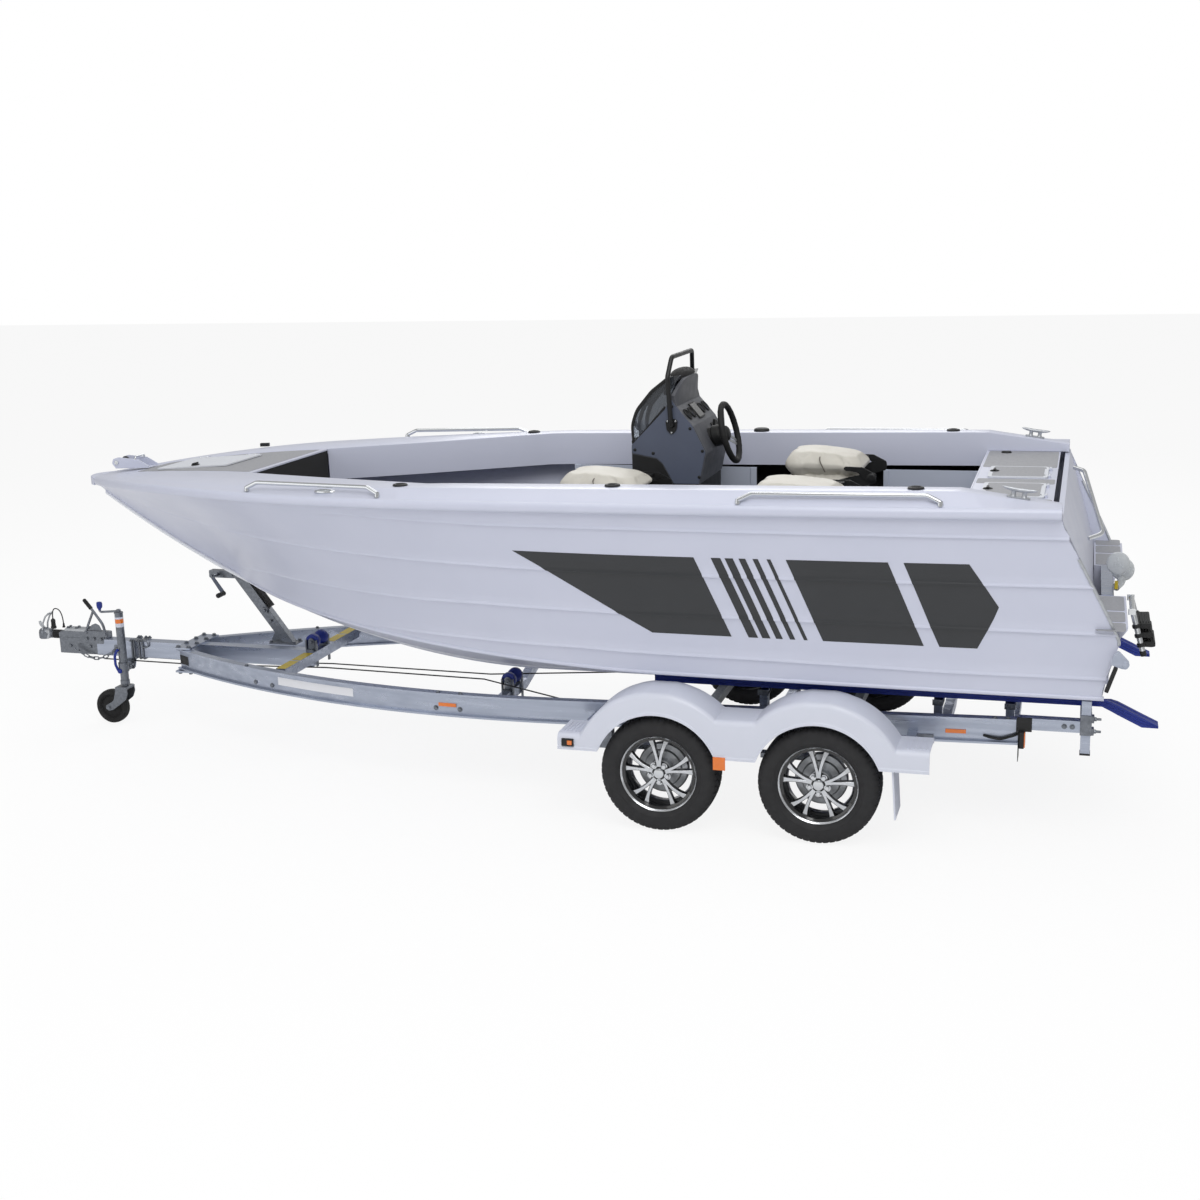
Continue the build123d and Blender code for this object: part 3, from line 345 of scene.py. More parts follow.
# %% Metals
print(len(bpy.data.materials), "materials before the metals")
# Mill aluminium's cool blue-grey is partly painted reflection: the blue tint stands in for the cool
# highlights on the rails, and the streaks along the bar are the metal's own.
MILL_BLUE_REFLECTION = finish("mill_aluminium", "#BDC3D1", "#98A0B0", (0.22, 0.42), 30, (0.06, 1, 1), 8, 0.12, 5,
              Metallic=0.9)
CAST = finish("cast_aluminium", "#C3C6CA", "#A9ACB0", (0.4, 0.55), 20, bump=0.25, grain=3, Metallic=0.9)
ZINC = finish("galvanised_zinc", "#8B8F96", "#62666D", (0.25, 0.45), 16, bump=0.15, grain=12,
              pattern="TexVoronoi", Metallic=0.85)
STAINLESS = finish("polished_stainless", "#D8DADC", "#CED1D4", (0.10, 0.18), 60, Metallic=1.0)
MACHINED = finish("machined_alloy", "#DADCDF", "#C4C7CB", (0.16, 0.3), 12, bump=0.05, grain=2, Metallic=1.0)
GLOSS_BLACK = finish("gloss_black_lacquer", "#0C0D0E", "#111214", (0.10, 0.16), 60,
                     **{"Coat Weight": 0.6, "Coat Roughness": 0.08})
BLACK_STEEL = finish("black_powder_coat", "#0C0D0E", "#101113", (0.40, 0.52), 40, bump=0.12, grain=2.5)

# %% [markdown]
# Plastics, rubber and vinyl: polyethylene is waxy with a soft highlight, pods are
# pressed with a leather grain, tyre rubber is nearly matt, and seat vinyl has
# pores a millimetre or two apart.

# %% Plastics, rubber and vinyl
BLACK_PLASTIC = finish("moulded_black_plastic", "#0E0F10", "#131415", (0.48, 0.6), 50, bump=0.15, grain=1.8)
CONSOLE_GREY = finish("console_moulding", "#585F71", "#505768", (0.38, 0.48), 120, bump=0.12, grain=2.4)
DASH_GREY = finish("dash_moulding", "#55575D", "#4C4E54", (0.45, 0.55), 60, bump=0.25, grain=2.2)
FENDER_WHITE = finish("white_polyethylene", "#D3D6E2", "#CCD0DC", (0.30, 0.42), 150, bump=0.1, grain=14)
BLUE_PLASTIC = finish("blue_polyethylene", "#112C8E", "#0E257A", (0.36, 0.5), 60, bump=0.15, grain=6)
RUBBER = finish("black_rubber", "#0D0D0E", "#121213", (0.65, 0.8), 30, bump=0.15, grain=2)
TYRE = finish("tyre_rubber", "#1B1B1D", "#232325", (0.62, 0.8), 45, bump=0.2, grain=2.4)
VINYL = finish("seat_vinyl", "#CBC8BF", "#BEBAB0", (0.40, 0.52), 90, bump=0.35, grain=3.4,
               pattern="TexVoronoi")
PIPING = finish("vinyl_piping", "#6F6A63", "#625D57", (0.45, 0.55), 60, bump=0.1, grain=2)
SCREEN = finish("tinted_acrylic", "#7C828B", "#70767F", (0.03, 0.06), 300,
                **{"Transmission Weight": 0.8, "IOR": 1.49, "Coat Weight": 0.5})
RED_LENS = finish("red_lens", "#A81218", "#8E0F14", (0.08, 0.14), 30, **{"Coat Weight": 0.8})
AMBER_LENS = finish("amber_lens", "#E87A1E", "#D96C14", (0.12, 0.2), 20, **{"Coat Weight": 0.7})
TAPE = finish("yellow_tape", "#C9B12A", "#BCA322", (0.35, 0.45), 40)
WRAP = finish("shrink_wrap", "#D3D6D8", "#BFC4C7", (0.12, 0.3), 35, bump=1.2, grain=22,
              **{"Transmission Weight": 0.25})
print(len(bpy.data.materials), "materials")

# %% [markdown]
# ## The camera and the lights
# The camera is placed first, then the lead, because a free cord may not sprawl
# outside the view. A 48 mm lens a good metre above the decks shows the whole port
# side with the bow turned away to the left.

# %% Camera
VIEW_FROM = (-2.9162, 8.3234, 2.9107)
YAW, PITCH, ROLL, LENS = 0.2974, 0.2300, -0.0277, 48.3
forward = Vector((sin(YAW) * cos(PITCH), -cos(YAW) * cos(PITCH), -sin(PITCH)))
right = forward.cross(Vector(UP)).normalized()
upward = right.cross(forward)
right, upward = (cos(ROLL) * right + sin(ROLL) * upward, -sin(ROLL) * right + cos(ROLL) * upward)
lens = bpy.data.cameras.new("camera")
lens.lens, lens.sensor_width, lens.clip_end = LENS, 36, 200
camera = bpy.data.objects.new("camera", lens)
turned_view = Matrix((right, upward, -forward)).transposed().to_4x4()
camera.matrix_world = Matrix.Translation(VIEW_FROM) @ turned_view
bpy.context.scene.collection.objects.link(camera)
bpy.context.scene.camera = camera
bpy.context.scene.view_settings.view_transform = "Standard"
print("camera with a", LENS, "mm lens")


# %% Four soft lamps
LAMP_TARGET = (0, 0, 0.9)


def soft_lamp(name, place, size, watts):
    """A square area lamp that faces the boat's middle."""
    data = bpy.data.lights.new(name, "AREA")
    data.shape, data.size, data.energy = "SQUARE", size, watts
    lamp = bpy.data.objects.new(name, data)
    away = Vector(place) - Vector(LAMP_TARGET)
    lamp.matrix_world = Matrix.Translation(place) @ away.to_track_quat("Z", "Y").to_matrix().to_4x4()
    bpy.context.scene.collection.objects.link(lamp)


soft_lamp("key", (-3.5, 6.5, 8.5), 6.0, 430)
soft_lamp("fill", (6.5, 7.0, 3.5), 6.0, 110)
soft_lamp("rim", (1.0, -8.0, 6.0), 6.0, 200)
soft_lamp("top", (0.0, 0.0, 9.5), 8.0, 170)
print(len(bpy.data.lights), "lamps")

# %% White world, dim for light and bright for the view
world = bpy.data.worlds.new("studio")
world.use_nodes = True
tree = world.node_tree
tree.nodes.clear()
ray = add_node(tree, "LightPath")
direct = add_node(tree, "Math", {0: ray.outputs["Is Camera Ray"],
                                 1: ray.outputs["Is Transmission Ray"]}, operation="MAXIMUM")
dim = add_node(tree, "Background", {"Color": (1, 1, 1, 1), "Strength": 0.5})
white = add_node(tree, "Background", {"Color": (1, 1, 1, 1), "Strength": 1.0})
both = add_node(tree, "MixShader", {0: direct.outputs[0], 1: dim.outputs[0], 2: white.outputs[0]})
add_node(tree, "OutputWorld", {"Surface": both.outputs[0]})
bpy.context.scene.world = world
print("world", world.name)

# %% Pale floor
FLOOR_HALF = 40
floor_mesh = bpy.data.meshes.new("studio_floor")
floor_mesh.from_pydata([(x * FLOOR_HALF, y * FLOOR_HALF, 0) for x, y in ((-1, -1), (1, -1), (1, 1), (-1, 1))],
                       [], [(0, 1, 2, 3)])
floor_paint = bpy.data.materials.new("studio_floor")
floor_paint.use_nodes = True
tree = floor_paint.node_tree
tree.nodes.clear()
matt = add_node(tree, "BsdfDiffuse", {"Color": (0.93, 0.93, 0.93, 1)})
glow = add_node(tree, "Emission", {"Color": (1, 1, 1, 1), "Strength": 1.0})
ray = add_node(tree, "LightPath")
plain = add_node(tree, "Math", {0: ray.outputs["Is Camera Ray"], 1: 0.88}, operation="MULTIPLY")
both = add_node(tree, "MixShader", {0: plain.outputs[0], 1: matt.outputs[0], 2: glow.outputs[0]})
add_node(tree, "OutputMaterial", {"Surface": both.outputs[0]})
floor_mesh.materials.append(floor_paint)
studio_floor = bpy.data.objects.new("studio_floor", floor_mesh)
bpy.context.scene.collection.objects.link(studio_floor)
print("floor", 2 * FLOOR_HALF, "m wide")

# %% [markdown]
# ## The trailer's lamp lead
# The lead is stiff rubber cable that leaves the coupling, arches over and ends in
# a plug parked mouth down. Its route is four listed points, and a NURBS
# line through their pull gives the even bend of a real cable.

# %% Lead, strain relief and plug
LEAD_ROUTE = ((4488, 18, 560.5), (4488, 14, 662), (4582, -6, 680), (4582, -10, 600.5))
LEAD_R = 3.5


def metres(points):
    """Stations in mm from the axles' middle to metres in the shared frame."""
    return (np.asarray(points, float) + [AXLE_X, 0, 0]) / 1000


def route_line(name, steps):
    """A NURBS curve of order 3 that starts and ends on the route's end points."""
    curve = bpy.data.curves.new(name, "CURVE")
    curve.dimensions, curve.resolution_u = "3D", steps
    spline = curve.splines.new("NURBS")
    spline.points.add(len(LEAD_ROUTE) - 1)
    for point, place in zip(spline.points, metres(LEAD_ROUTE)):
        point.co = (*place, 1)
    spline.order_u, spline.use_endpoint_u = 3, True
    return bpy.data.objects.new(name, curve)


lead = route_line("lamp_lead", 24)
lead.data.bevel_depth, lead.data.bevel_resolution, lead.data.use_fill_caps = LEAD_R / 1000, 4, True
lead.data.materials.append(RUBBER)
bpy.context.scene.collection.objects.link(lead)
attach(lead, "root")
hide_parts("plug_lead")
EXIT, END = LEAD_ROUTE[0], LEAD_ROUTE[-1]
piece("lead_strain_relief", [
    (turned([(9, -2), (9, 4), (7, 6), (7, 10), (6, 12), (6.4, 16), (5.2, 18), (5.4, 23), (4.2, 26)],
            EXIT, (0, -0.04, 1), 20), RUBBER)])
plug = piece("lead_plug_shell", [
    (turned([(4, 6), (6.5, 2), (12, -2), (14, -6), (14, -22), (12.8, -23), (12.8, -27), (14, -28),
             (14, -43), (16.8, -45), (16.8, -59), (14.5, -60)], END, UP, 28), BLACK_PLASTIC),
    (box(4580, 4584, 3, 7.5, 550, 590, 0.8), BLACK_PLASTIC)],
    stands_for=["lead_plug"])

# %% The lead's bare line, turned into a mesh
probe = route_line("bare_route", 48)
walked = bpy.data.meshes.new_from_object(probe)
bpy.data.objects.remove(probe)

# %% [markdown]
# ## The hull's curves
# The hull is ruled by a few lines seen in plan and from the side: the sheer where
# the side meets the gunwale, the chine where it meets the bottom, and the keel.
# The same formulas drive the CAD sheets, so a skin made here lies on them.

# %% Sheer and keel
SHEET = 5.0
STEM_END, CHINE_END, STERN_END = 4100.0, 3240.0, -1640
FOREDECK_X, FOREDECK_HALF = 2850, 475


def ramp(x, start, run):
    """How far x is past start, as a share of the run, and never below zero."""
    return np.maximum(0, (np.asarray(x, float) - start) / run)


def sheer_y(x):
    """Half breadth at the sheer: a quadratic ease aft, and a power of 3.6 into the bow."""
    return (1185 - 55 * ramp(-np.asarray(x, float), -600, 2050) ** 2) * (1 - ramp(x, 600, 3570) ** 3.6)


def sheer_z(x):
    """The sheer falls a little towards the bow and drops faster over the foredeck."""
    return 1595 - 0.0068 * (np.asarray(x, float) + 1450) - 90 * ramp(x, 2800, 1350) ** 2


def keel_z(x):
    """Flat keel that climbs into the stem by the distance past x = 1350 to the power 1.95."""
    return 474 + 131 * ramp(x, 1350, 1000) ** 1.95


print("sheet ends", STERN_END, "to", STEM_END, "and is", SHEET, "mm thick")


# %% Chine, side, deck and trailer rail
def chine_y(x):
    """Half breadth at the chine: nearly parallel aft, closing on the stem by a power of 2.7."""
    aft = ramp(-np.asarray(x, float), -200, 1870)
    return (1000 - 25 * aft ** 2) * (1 - np.minimum(1, ramp(x, 200, 3040)) ** 2.7)


def chine_z(x):
    """The chine rises slowly, then climbs to meet the keel's line where the chine ends."""
    level = 748 + 8 * (np.minimum(x, 500) + 1700) / 1000
    climb = (keel_z(CHINE_END) - 766) * ramp(x, 500, 2740) ** 1.3
    return np.where(np.asarray(x) >= CHINE_END, keel_z(x), level + climb)


def side_y(x, z):
    """Inner face of the side: chine to sheer by the height's share to the power of the flare."""
    share = np.clip((z - chine_z(x)) / (sheer_z(x) - chine_z(x)), 0, 1)
    flare = 1.06 + 0.4 * np.minimum(1, ramp(x, 1200, 2000))
    return chine_y(x) + (sheer_y(x) - chine_y(x)) * share ** flare


def deck_z(x):
    """The deck's height: the sheer plus the coaming's rise, read between a few stations."""
    stations = (-1450, -1010, 600, 1500, 2300, 2850, 3620, 4100)
    return sheer_z(x) + np.interp(x, stations, (48, 112, 104, 98, 74, 61, 58, 54))


def coaming_y(x):
    """Cockpit edge: straight, then narrowing to the foredeck, and past it a share of the sheer."""
    narrow = np.interp(x, (1600, FOREDECK_X), (960, FOREDECK_HALF))
    return np.where(np.asarray(x) > FOREDECK_X, FOREDECK_HALF * sheer_y(x) / sheer_y(FOREDECK_X), narrow)


def rail_z(x):
    """Middle height of the trailer's side rail, which slopes down to the tow ball."""
    return 504.3 - 0.0192 * np.asarray(x, float)


print("half breadth at x = 0:", round(sheer_y(0)), "mm at the sheer,", round(chine_y(0)), "at the chine")


# %% [markdown]
# ## Pressed side sheets
# Each side is one sheet with four ribs rolled into it that stiffen the panel and
# catch the light as thin lines. Rows of the grid follow the ribs, seven rows to a
# rib, so that a rib of 14 mm is crisp without a fine mesh everywhere.

# %% Rows that follow the ribs
RIB_AT = [(-1770, 0.118), (-927, 0.113), (-180, 0.127), (798, 0.131), (1373, 0.10), (1696, 0.074),
          (2100, 0.03), (4100, 0.02)]
RIB_BELOW = [(-1770, 0.372), (66, 0.383), (777, 0.379), (1337, 0.364), (1709, 0.334), (2022, 0.314),
             (2375, 0.291), (2806, 0.24), (3261, 0.111), (4100, 0.08)]
RIB_PROUD, RIB_HALF = 7.5, 11.0
RIB_SHAPE = [(-1, 0), (-0.72, 0.02), (-0.6, 0.95), (-0.3, 1), (0.1, 0.7), (0.6, 0.25), (1, 0)]
FILM_LOW, FILM_HIGH = 0.262, 0.747


def guide_shares(x):
    """Shares of the side's height at each x: chine, ribs, film edges and sheer, in rising order."""
    low = np.interp(x, *np.transpose(RIB_AT))
    middle = np.interp(x, *np.transpose(RIB_BELOW))
    height = sheer_z(x) - chine_z(x)
    top = np.interp(x, (1260, 1726, 1996, 4100), (1510, 1523, 1534, 1486)) - chine_z(x)
    top = np.clip(top / height, 0.80, 0.965)
    film_low = np.minimum(FILM_LOW, (low + middle) / 2 + 0.015)
    flat = np.zeros_like(low)
    return np.stack([flat, low, film_low, middle, flat + 0.635, flat + FILM_HIGH, top, flat + 1], -1)


print("a rib is", 2 * RIB_HALF, "mm wide and", RIB_PROUD, "mm proud")


# %% Table of the rows
def row_table():
    """For every row: its weight on each guide, its offset in mm, and its share of each rib's height."""
    weights, offsets, lifts = [], [], []
    ribs = {1: 0, 3: 1, 4: 2, 6: 3}
    between = {0: 2, 1: 1, 2: 1, 3: 3, 4: 1, 5: 1, 6: 1}
    for guide in range(8):
        steps = RIB_SHAPE if guide in ribs else [(0.0, 0.0)]
        for step, lift in steps:
            weights.append(np.eye(8)[guide])
            offsets.append(RIB_HALF * step)
            lifts.append(np.eye(4)[ribs[guide]] * lift if guide in ribs else np.zeros(4))
        for k in range(between.get(guide, 0)):
            share = (k + 1) / (between[guide] + 1)
            weights.append(np.eye(8)[guide] * (1 - share) + np.eye(8)[min(guide + 1, 7)] * share)
            offsets.append(0.0)
            lifts.append(np.zeros(4))
    return np.array(weights), np.array(offsets), np.array(lifts)


print(len(row_table()[0]), "rows up the side")

# %% Side sheet
WEIGHTS, OFFSETS, LIFTS = row_table()
FILM_FIRST = int(np.flatnonzero((WEIGHTS == np.eye(8)[2]).all(1))[0])
FILM_LAST = int(np.flatnonzero((WEIGHTS == np.eye(8)[5]).all(1))[0])


def side_skin(x, rows, out=0.0):
    """Outer face of the side at stations x (m, n) and the n given rows, `out` mm proud of it."""
    x = np.asarray(x, float)
    shares = (guide_shares(x) * WEIGHTS[rows]).sum(-1)
    narrowing = np.minimum(1, ramp(-x, -3900, 300))
    z = chine_z(x) + (sheer_z(x) - 0.5 - chine_z(x)) * shares + OFFSETS[rows] * narrowing
    fades = np.stack([1 - ramp(x, 1700, 400), 1 - ramp(x, 3100, 200), 1 - ramp(x, 3600, 250),
                      1 - ramp(x, 1900, 300)], -1).clip(0, 1)
    proud = RIB_PROUD * (fades * LIFTS[rows]).sum(-1)
    return np.stack([x, side_y(x, z) + SHEET + out + proud, z], -1)


def aft_edge(z):
    """Station of the raked stern blade at a height."""
    return np.interp(z, (790, 1027, 1143, 1417, 1585), (-1652, -1720, -1667, -1530, -1450))


def side_sheet():
    """The sheet's rows run from the raked blade to the stem; a second wall closes it inside."""
    rows = np.arange(len(OFFSETS))
    aft = -1600.0
    share = WEIGHTS @ guide_shares(aft)
    start = aft_edge(chine_z(aft) + share * (sheer_z(aft) - chine_z(aft)))
    t = np.linspace(0, 1, 130)[:, None]
    x = start + (STEM_END - start) * t
    outer = side_skin(x, rows)
    inner = outer.copy()
    inner[..., 1] = np.maximum(0.4, side_y(outer[..., 0], outer[..., 2]))
    return solid(np.concatenate([outer, inner[:, ::-1]], 1))


HULL_SIDE = side_sheet()
for name, hand in HANDS.items():
    piece(f"hull_side_sheet_{name}", [(hand(HULL_SIDE), SHADE_TINTED_ENAMEL)],
          stands_for=[f"hull_side_{name}"], sharp=50)

# %% [markdown]
# ## Cut film on the sides
# Cut vinyl is a tenth of a millimetre thick and follows every rib. Each panel is
# a stretch of the same rows, between two slanted ends, lifted 0.9 mm off the paint.
# The layout is a plain one: a pointed forward panel, a fan of slanted bars, a long
# main panel and a short aft panel, with white slashes left between them.

# %% Panels between slanted ends
FILM_PROUD = 0.9


def film(ends, columns=24):
    """Panel between an aft line and a fore line, each given as x at its bottom, middle and top."""
    rows = np.arange(FILM_FIRST, FILM_LAST + 1)
    levels = side_skin(np.zeros(len(rows)), rows)[:, 2]
    share = (levels - levels[0]) / (levels[-1] - levels[0])
    aft, fore = (np.interp(share, (0, 0.5, 1), line) for line in ends)
    x = aft + (fore - aft) * np.linspace(0, 1, columns)[:, None]
    return grid(side_skin(x, rows, FILM_PROUD))


PANELS = [((40, 120, 200), (430, 770, 1105)), ((-860, -780, -700), (-395, -315, -235)),
          ((-1100, -1195, -1060), (-930, -850, -770))]
BAR_LEAN = 80
BARS = [(-42 - 66 * k, 46 - 7 * k) for k in range(5)]
panels = [film(ends) for ends in PANELS]
for x, wide in BARS:
    line = np.array([x, x + BAR_LEAN, x + 2 * BAR_LEAN])
    panels.append(film((line - wide, line), columns=5))
dark_film = join(*panels)
for name, hand in HANDS.items():
    piece(f"side_film_{name}", [(hand(dark_film), SIDE_FILM)], sharp=60)

# %% [markdown]
# ## Bottom, keel and chine strip
# The bottom is a shallow vee of sheet with pressed planing strakes. A flat keel
# bar runs along it and up the stem. A round-edged extrusion covers the chine weld.

# %% Bottom with strakes, keel bar and strips
def bottom_skin():
    """Rows from the keel to the chine: straight across, with two triangular strakes 12 mm deep."""
    x = np.linspace(STERN_END, 3235, 90)[:, None]
    share = np.array([0.0, 0.30, 0.345, 0.35, 0.40, 0.62, 0.665, 0.67, 0.72, 0.97, 1.0])
    depth = np.array([0, 0, 12, 12, 0, 0, 12, 12, 0, 0, 0]) * np.minimum(1, ramp(-x, -3100, 500))
    y = 9 + (chine_y(x) - 0.5 - 9) * share
    z = keel_z(x) + (chine_z(x) - 0.5 - keel_z(x)) * share - depth
    top = np.stack([x + 0 * y, y, z], -1)
    lid = np.stack([x[:, 0], np.zeros(len(x)), chine_z(x[:, 0]) - 0.5], -1)[:, None]
    foot = np.stack([x[:, 0], np.zeros(len(x)), keel_z(x[:, 0])], -1)[:, None]
    half = np.concatenate([foot, top, lid], 1)
    both = np.concatenate([half, (half * [1, -1, 1])[:, ::-1]], 1)
    return solid(both)


def keel_bar():
    """A flat bar 18 mm wide under the keel line, from the stern to the stem's end."""
    x = np.linspace(STERN_END, STEM_END, 120)
    low, high = keel_z(x) - 14, keel_z(x) + 2
    section = np.array([(-9, 0), (-9, -1), (-6, -1.15), (6, -1.15), (9, -1), (9, 0)])
    y = np.broadcast_to(section[:, 0], (len(x), 6))
    z = high[:, None] + (section[:, 1] * 14)
    return solid(np.stack([np.broadcast_to(x[:, None], y.shape), y, np.maximum(z, low[:, None])], -1))


def stem_strip():
    """Rolled edge on each side of the stem, its paler paint a painted highlight: a round tube that thins
    towards midships.
    """
    x = np.linspace(900, STEM_END - 6, 90)
    angle = full_turn(12)
    size = 3 + 10 * np.minimum(1, ramp(x, 900, 1500))
    y = 8 + size[:, None] * np.cos(angle)
    z = keel_z(x)[:, None] + 2 + size[:, None] * np.sin(angle)
    return solid(np.stack([np.broadcast_to(x[:, None], y.shape), y, z], -1))


def chine_strip():
    """Half-round extrusion over the weld between bottom and side, thinning at the stem."""
    x = np.linspace(-1662, 3225, 110)
    angle = full_turn(12)
    size = 11 * np.minimum(1, ramp(-x, -3240, 260) + 0.15)
    y = chine_y(x)[:, None] + 2 + size[:, None] * np.cos(angle)
    z = chine_z(x)[:, None] + 1 + size[:, None] * np.sin(angle)
    return solid(np.stack([np.broadcast_to(x[:, None], y.shape), y, z], -1))


piece("hull_bottom_skin", [
    (bottom_skin(), SHADE_TINTED_ENAMEL), (keel_bar(), SHADE_TINTED_ENAMEL),
    *paired((chine_strip(), SHADE_TINTED_ENAMEL), (stem_strip(), STEM_HIGHLIGHT_PAINT))],
    stands_for=["hull_bottom"], sharp=35)

# %% [markdown]
# ## Gunwales
# A gunwale is one long extrusion bent round the sheer: a fat rounded rub rail
# outside, a sloping coaming, a flat top and a face that hangs inside the cockpit.

# %% Section of the gunwale along the boat
def gunwale():
    """Twenty corners a section: ten draw the rub rail's bulge off the sheer, and ten follow the
    deck and the cockpit edge."""
    x = np.unique(np.concatenate([np.linspace(-1450, -1012, 8), np.linspace(-1008, 1600, 40),
                                  np.linspace(1600, 2849, 26), np.linspace(2851, STEM_END, 34)]))
    y, z, top, inner = sheer_y(x), sheer_z(x), deck_z(x), coaming_y(x)
    shoulder = np.maximum(np.maximum(y - 75, inner + 8), 0.5 * y)
    depth = np.where(x > 2850, 30, np.where(x < -1010, top - 1601, 190))
    turn = np.array([(-2, 0), (20, 0), (27, 3), (33, 9), (35, 17), (35, 33), (32, 42), (25, 48),
                     (14, 50.5), (0, 50)])
    rub = np.stack([y[:, None] + turn[:, 0], z[:, None] + turn[:, 1]], -1)
    edge = np.stack([np.stack(pair, -1) for pair in (
        (shoulder + 5, top - 1.5), (shoulder - 4, top), (inner + 5, top), (inner + 1, top - 1.5),
        (inner, top - 5), (inner, top - depth), (inner + 4, top - depth), (inner + 4, top - 6),
        (shoulder - 5, top - 5), (y - 6, z + 42))], 1)
    section = np.concatenate([rub, edge], 1)
    points = np.concatenate([np.broadcast_to(x[:, None, None], (*section.shape[:2], 1)), section], -1)
    return solid(points)


GUNWALE = gunwale()
for name, hand in HANDS.items():
    piece(f"gunwale_coaming_{name}", [(hand(GUNWALE), SHADE_TINTED_ENAMEL)],
          stands_for=[f"gunwale_{name}"], sharp=32)

# %% [markdown]
# ## Wheels
# A trailer wheel is a steel-belted tyre on a cast alloy rim. The tyre is one
# closed surface: a profile turned round the axle, with the tread cut by lowering
# the points that fall in a groove. The rim is cast, painted gloss black, and then
# its spoke faces are machined bright.

# %% Tyre
WHEEL_Z, WHEEL_FACE, TYRE_R, TYRE_HALF = 293.0, 1166.0, 293.0, 92.5
WHEEL_X = {"front": 390.0, "rear": -390.0}
TREAD_PITCHES = 56
print("tyre", 2 * TYRE_R, "mm across with", TREAD_PITCHES, "tread pitches")


def tyre():
    """Radius from the profile less the tread depth: rings at set widths, and cross cuts whose
    angle leans with the distance from the middle. The axle is the y axis at x = z = 0."""
    side = np.array([(192, 74), (199, 83), (212, 89), (216, 91.3), (219, 90), (236, 92.5), (252, 91.5),
                     (266, 87), (277, 80.5), (285, 73), (288.5, 66), (290.5, 58)])
    rings = np.array([(c - 4.2, c - 3.4, c + 3.4, c + 4.2) for c in (-40, -14, 14, 40)]).ravel()
    crown = np.sort(np.concatenate([rings, [-52, -46, -27, -22, 0, 22, 27, 46, 52, -6, 6]]))
    middle = np.column_stack([TYRE_R - 2.3 * (crown / 58) ** 2, crown])
    loop = np.concatenate([side * [1, -1], middle, side[::-1]])
    angle = full_turn(TREAD_PITCHES * 6)[:, None]
    radius, across = loop[:, 0], loop[:, 1]
    ring_cut = (np.abs(np.abs(np.abs(across) - 27) - 13) < 3.6) & (np.abs(across) < 48)
    lean = np.where(np.abs(across) > 44, 0.02, 0.055) * np.sign(across) * np.abs(across) / 40
    phase = ((angle + lean) * TREAD_PITCHES / (2 * pi) + (np.abs(across) > 44) * 0.5) % 1
    cross_cut = (phase < 0.24) & (np.abs(across) > 16) & (np.abs(across) < 86) & (radius > 270)
    depth = np.maximum(np.where(ring_cut, 6.5, 0), np.where(cross_cut, 4.5, 0))
    r = radius - depth
    points = np.stack([r * np.cos(angle), across + 0 * angle, r * np.sin(angle)], -1)
    return grid(points, round_u=True, round_v=True)


# %% Rim, spokes, nuts and brake drum
SPOKES = 5


def spoke(turn, spread, top, thick, trim=0.0):
    """A beam from hub to rim: its width and height are smooth in the radius, and a pair of
    spokes parts outwards."""
    s = np.linspace(0, 1, 12)
    radius = 34 + (180 - 34) * s
    swing = np.radians(spread * (4.5 + 9.5 * s ** 1.15))
    half = 9.5 - 1.5 * np.sin(pi * s) + 5.5 * s ** 3 - trim
    height = top + 7 * np.sin(pi * s) ** 1.2 - 6 * s ** 2
    middle = np.column_stack([radius * np.cos(swing), radius * np.sin(swing)])
    along = np.gradient(middle, axis=0)
    along /= np.linalg.norm(along, axis=1, keepdims=True)
    normal = np.column_stack([-along[:, 1], along[:, 0]])
    edge = 1.6
    shape = [(-1, -thick, 0), (-1, -edge, 0), (-1, 0, edge), (1, 0, -edge), (1, -edge, 0), (1, -thick, 0)]
    ring = [np.column_stack([middle + normal * (side * half + inset)[:, None], height + drop])
            for side, drop, inset in shape]
    ring = np.stack(ring, 1)
    c, n = cos(turn), sin(turn)
    x, z, y = ring[..., 0] * c - ring[..., 1] * n, ring[..., 0] * n + ring[..., 1] * c, ring[..., 2]
    return solid(np.stack([x, y, z], -1))


def open_ring(profile):
    """A closed profile turned about the axle, with no caps: a ring with a hole."""
    return grid(turned(profile, ORIGIN, TO_PORT, 64)[0].reshape(-1, 64, 3), round_u=True, round_v=True)


def rim():
    """The barrel, its bright lip, five pairs of spokes, the hub with nuts and cap, and the drum."""
    barrel = [(190.5, -84), (191.5, -80), (184, -74), (176, -60), (166, -30), (164, 20), (170, 52),
              (183, 62), (186, 66), (180, 66), (170, 60), (158, 24), (158, -30), (170, -66), (182, -82)]
    lip = [(183.5, 66.4), (187, 71), (191.3, 74), (191.6, 70), (191.6, 62), (187, 60), (183, 62)]
    turns = [pi / 2 + 2 * pi * k / SPOKES for k in range(SPOKES)]
    bodies = [spoke(t, side, 57, 26) for t in turns for side in (-1, 1)]
    faces = [spoke(t, side, 57.7, 3, 0.9) for t in turns for side in (-1, 1)]
    hub = turned([(54, 30), (54, 50), (50, 57), (44, 58), (37, 54), (0.5, 54)], ORIGIN, TO_PORT, 40)
    cap = turned([(26, 52), (26, 62), (24, 65.5), (16, 67.5), (0.5, 68)], ORIGIN, TO_PORT, 36)
    nuts = [(44.5 * cos(t + pi / SPOKES), 54, 44.5 * sin(t + pi / SPOKES)) for t in turns]
    wells = copies(turned([(9, 2), (11, 2), (11, 5), (9, 5)], ORIGIN, TO_PORT, 18), nuts)
    drum = turned([(118, -66), (127, -62), (128, -40), (122, -34), (96, -32), (90, -22), (58, -18),
                   (56, 20), (40, 26), (0.5, 26)], ORIGIN, TO_PORT, 44)
    return [(open_ring(barrel), GLOSS_BLACK), (open_ring(lip), MACHINED), (join(*bodies), GLOSS_BLACK),
            (join(*faces), MACHINED), (hub, GLOSS_BLACK), (cap, STAINLESS), (wells, MACHINED),
            (bolts(nuts, TO_PORT, 19, 12), STAINLESS), (drum, CAST)]


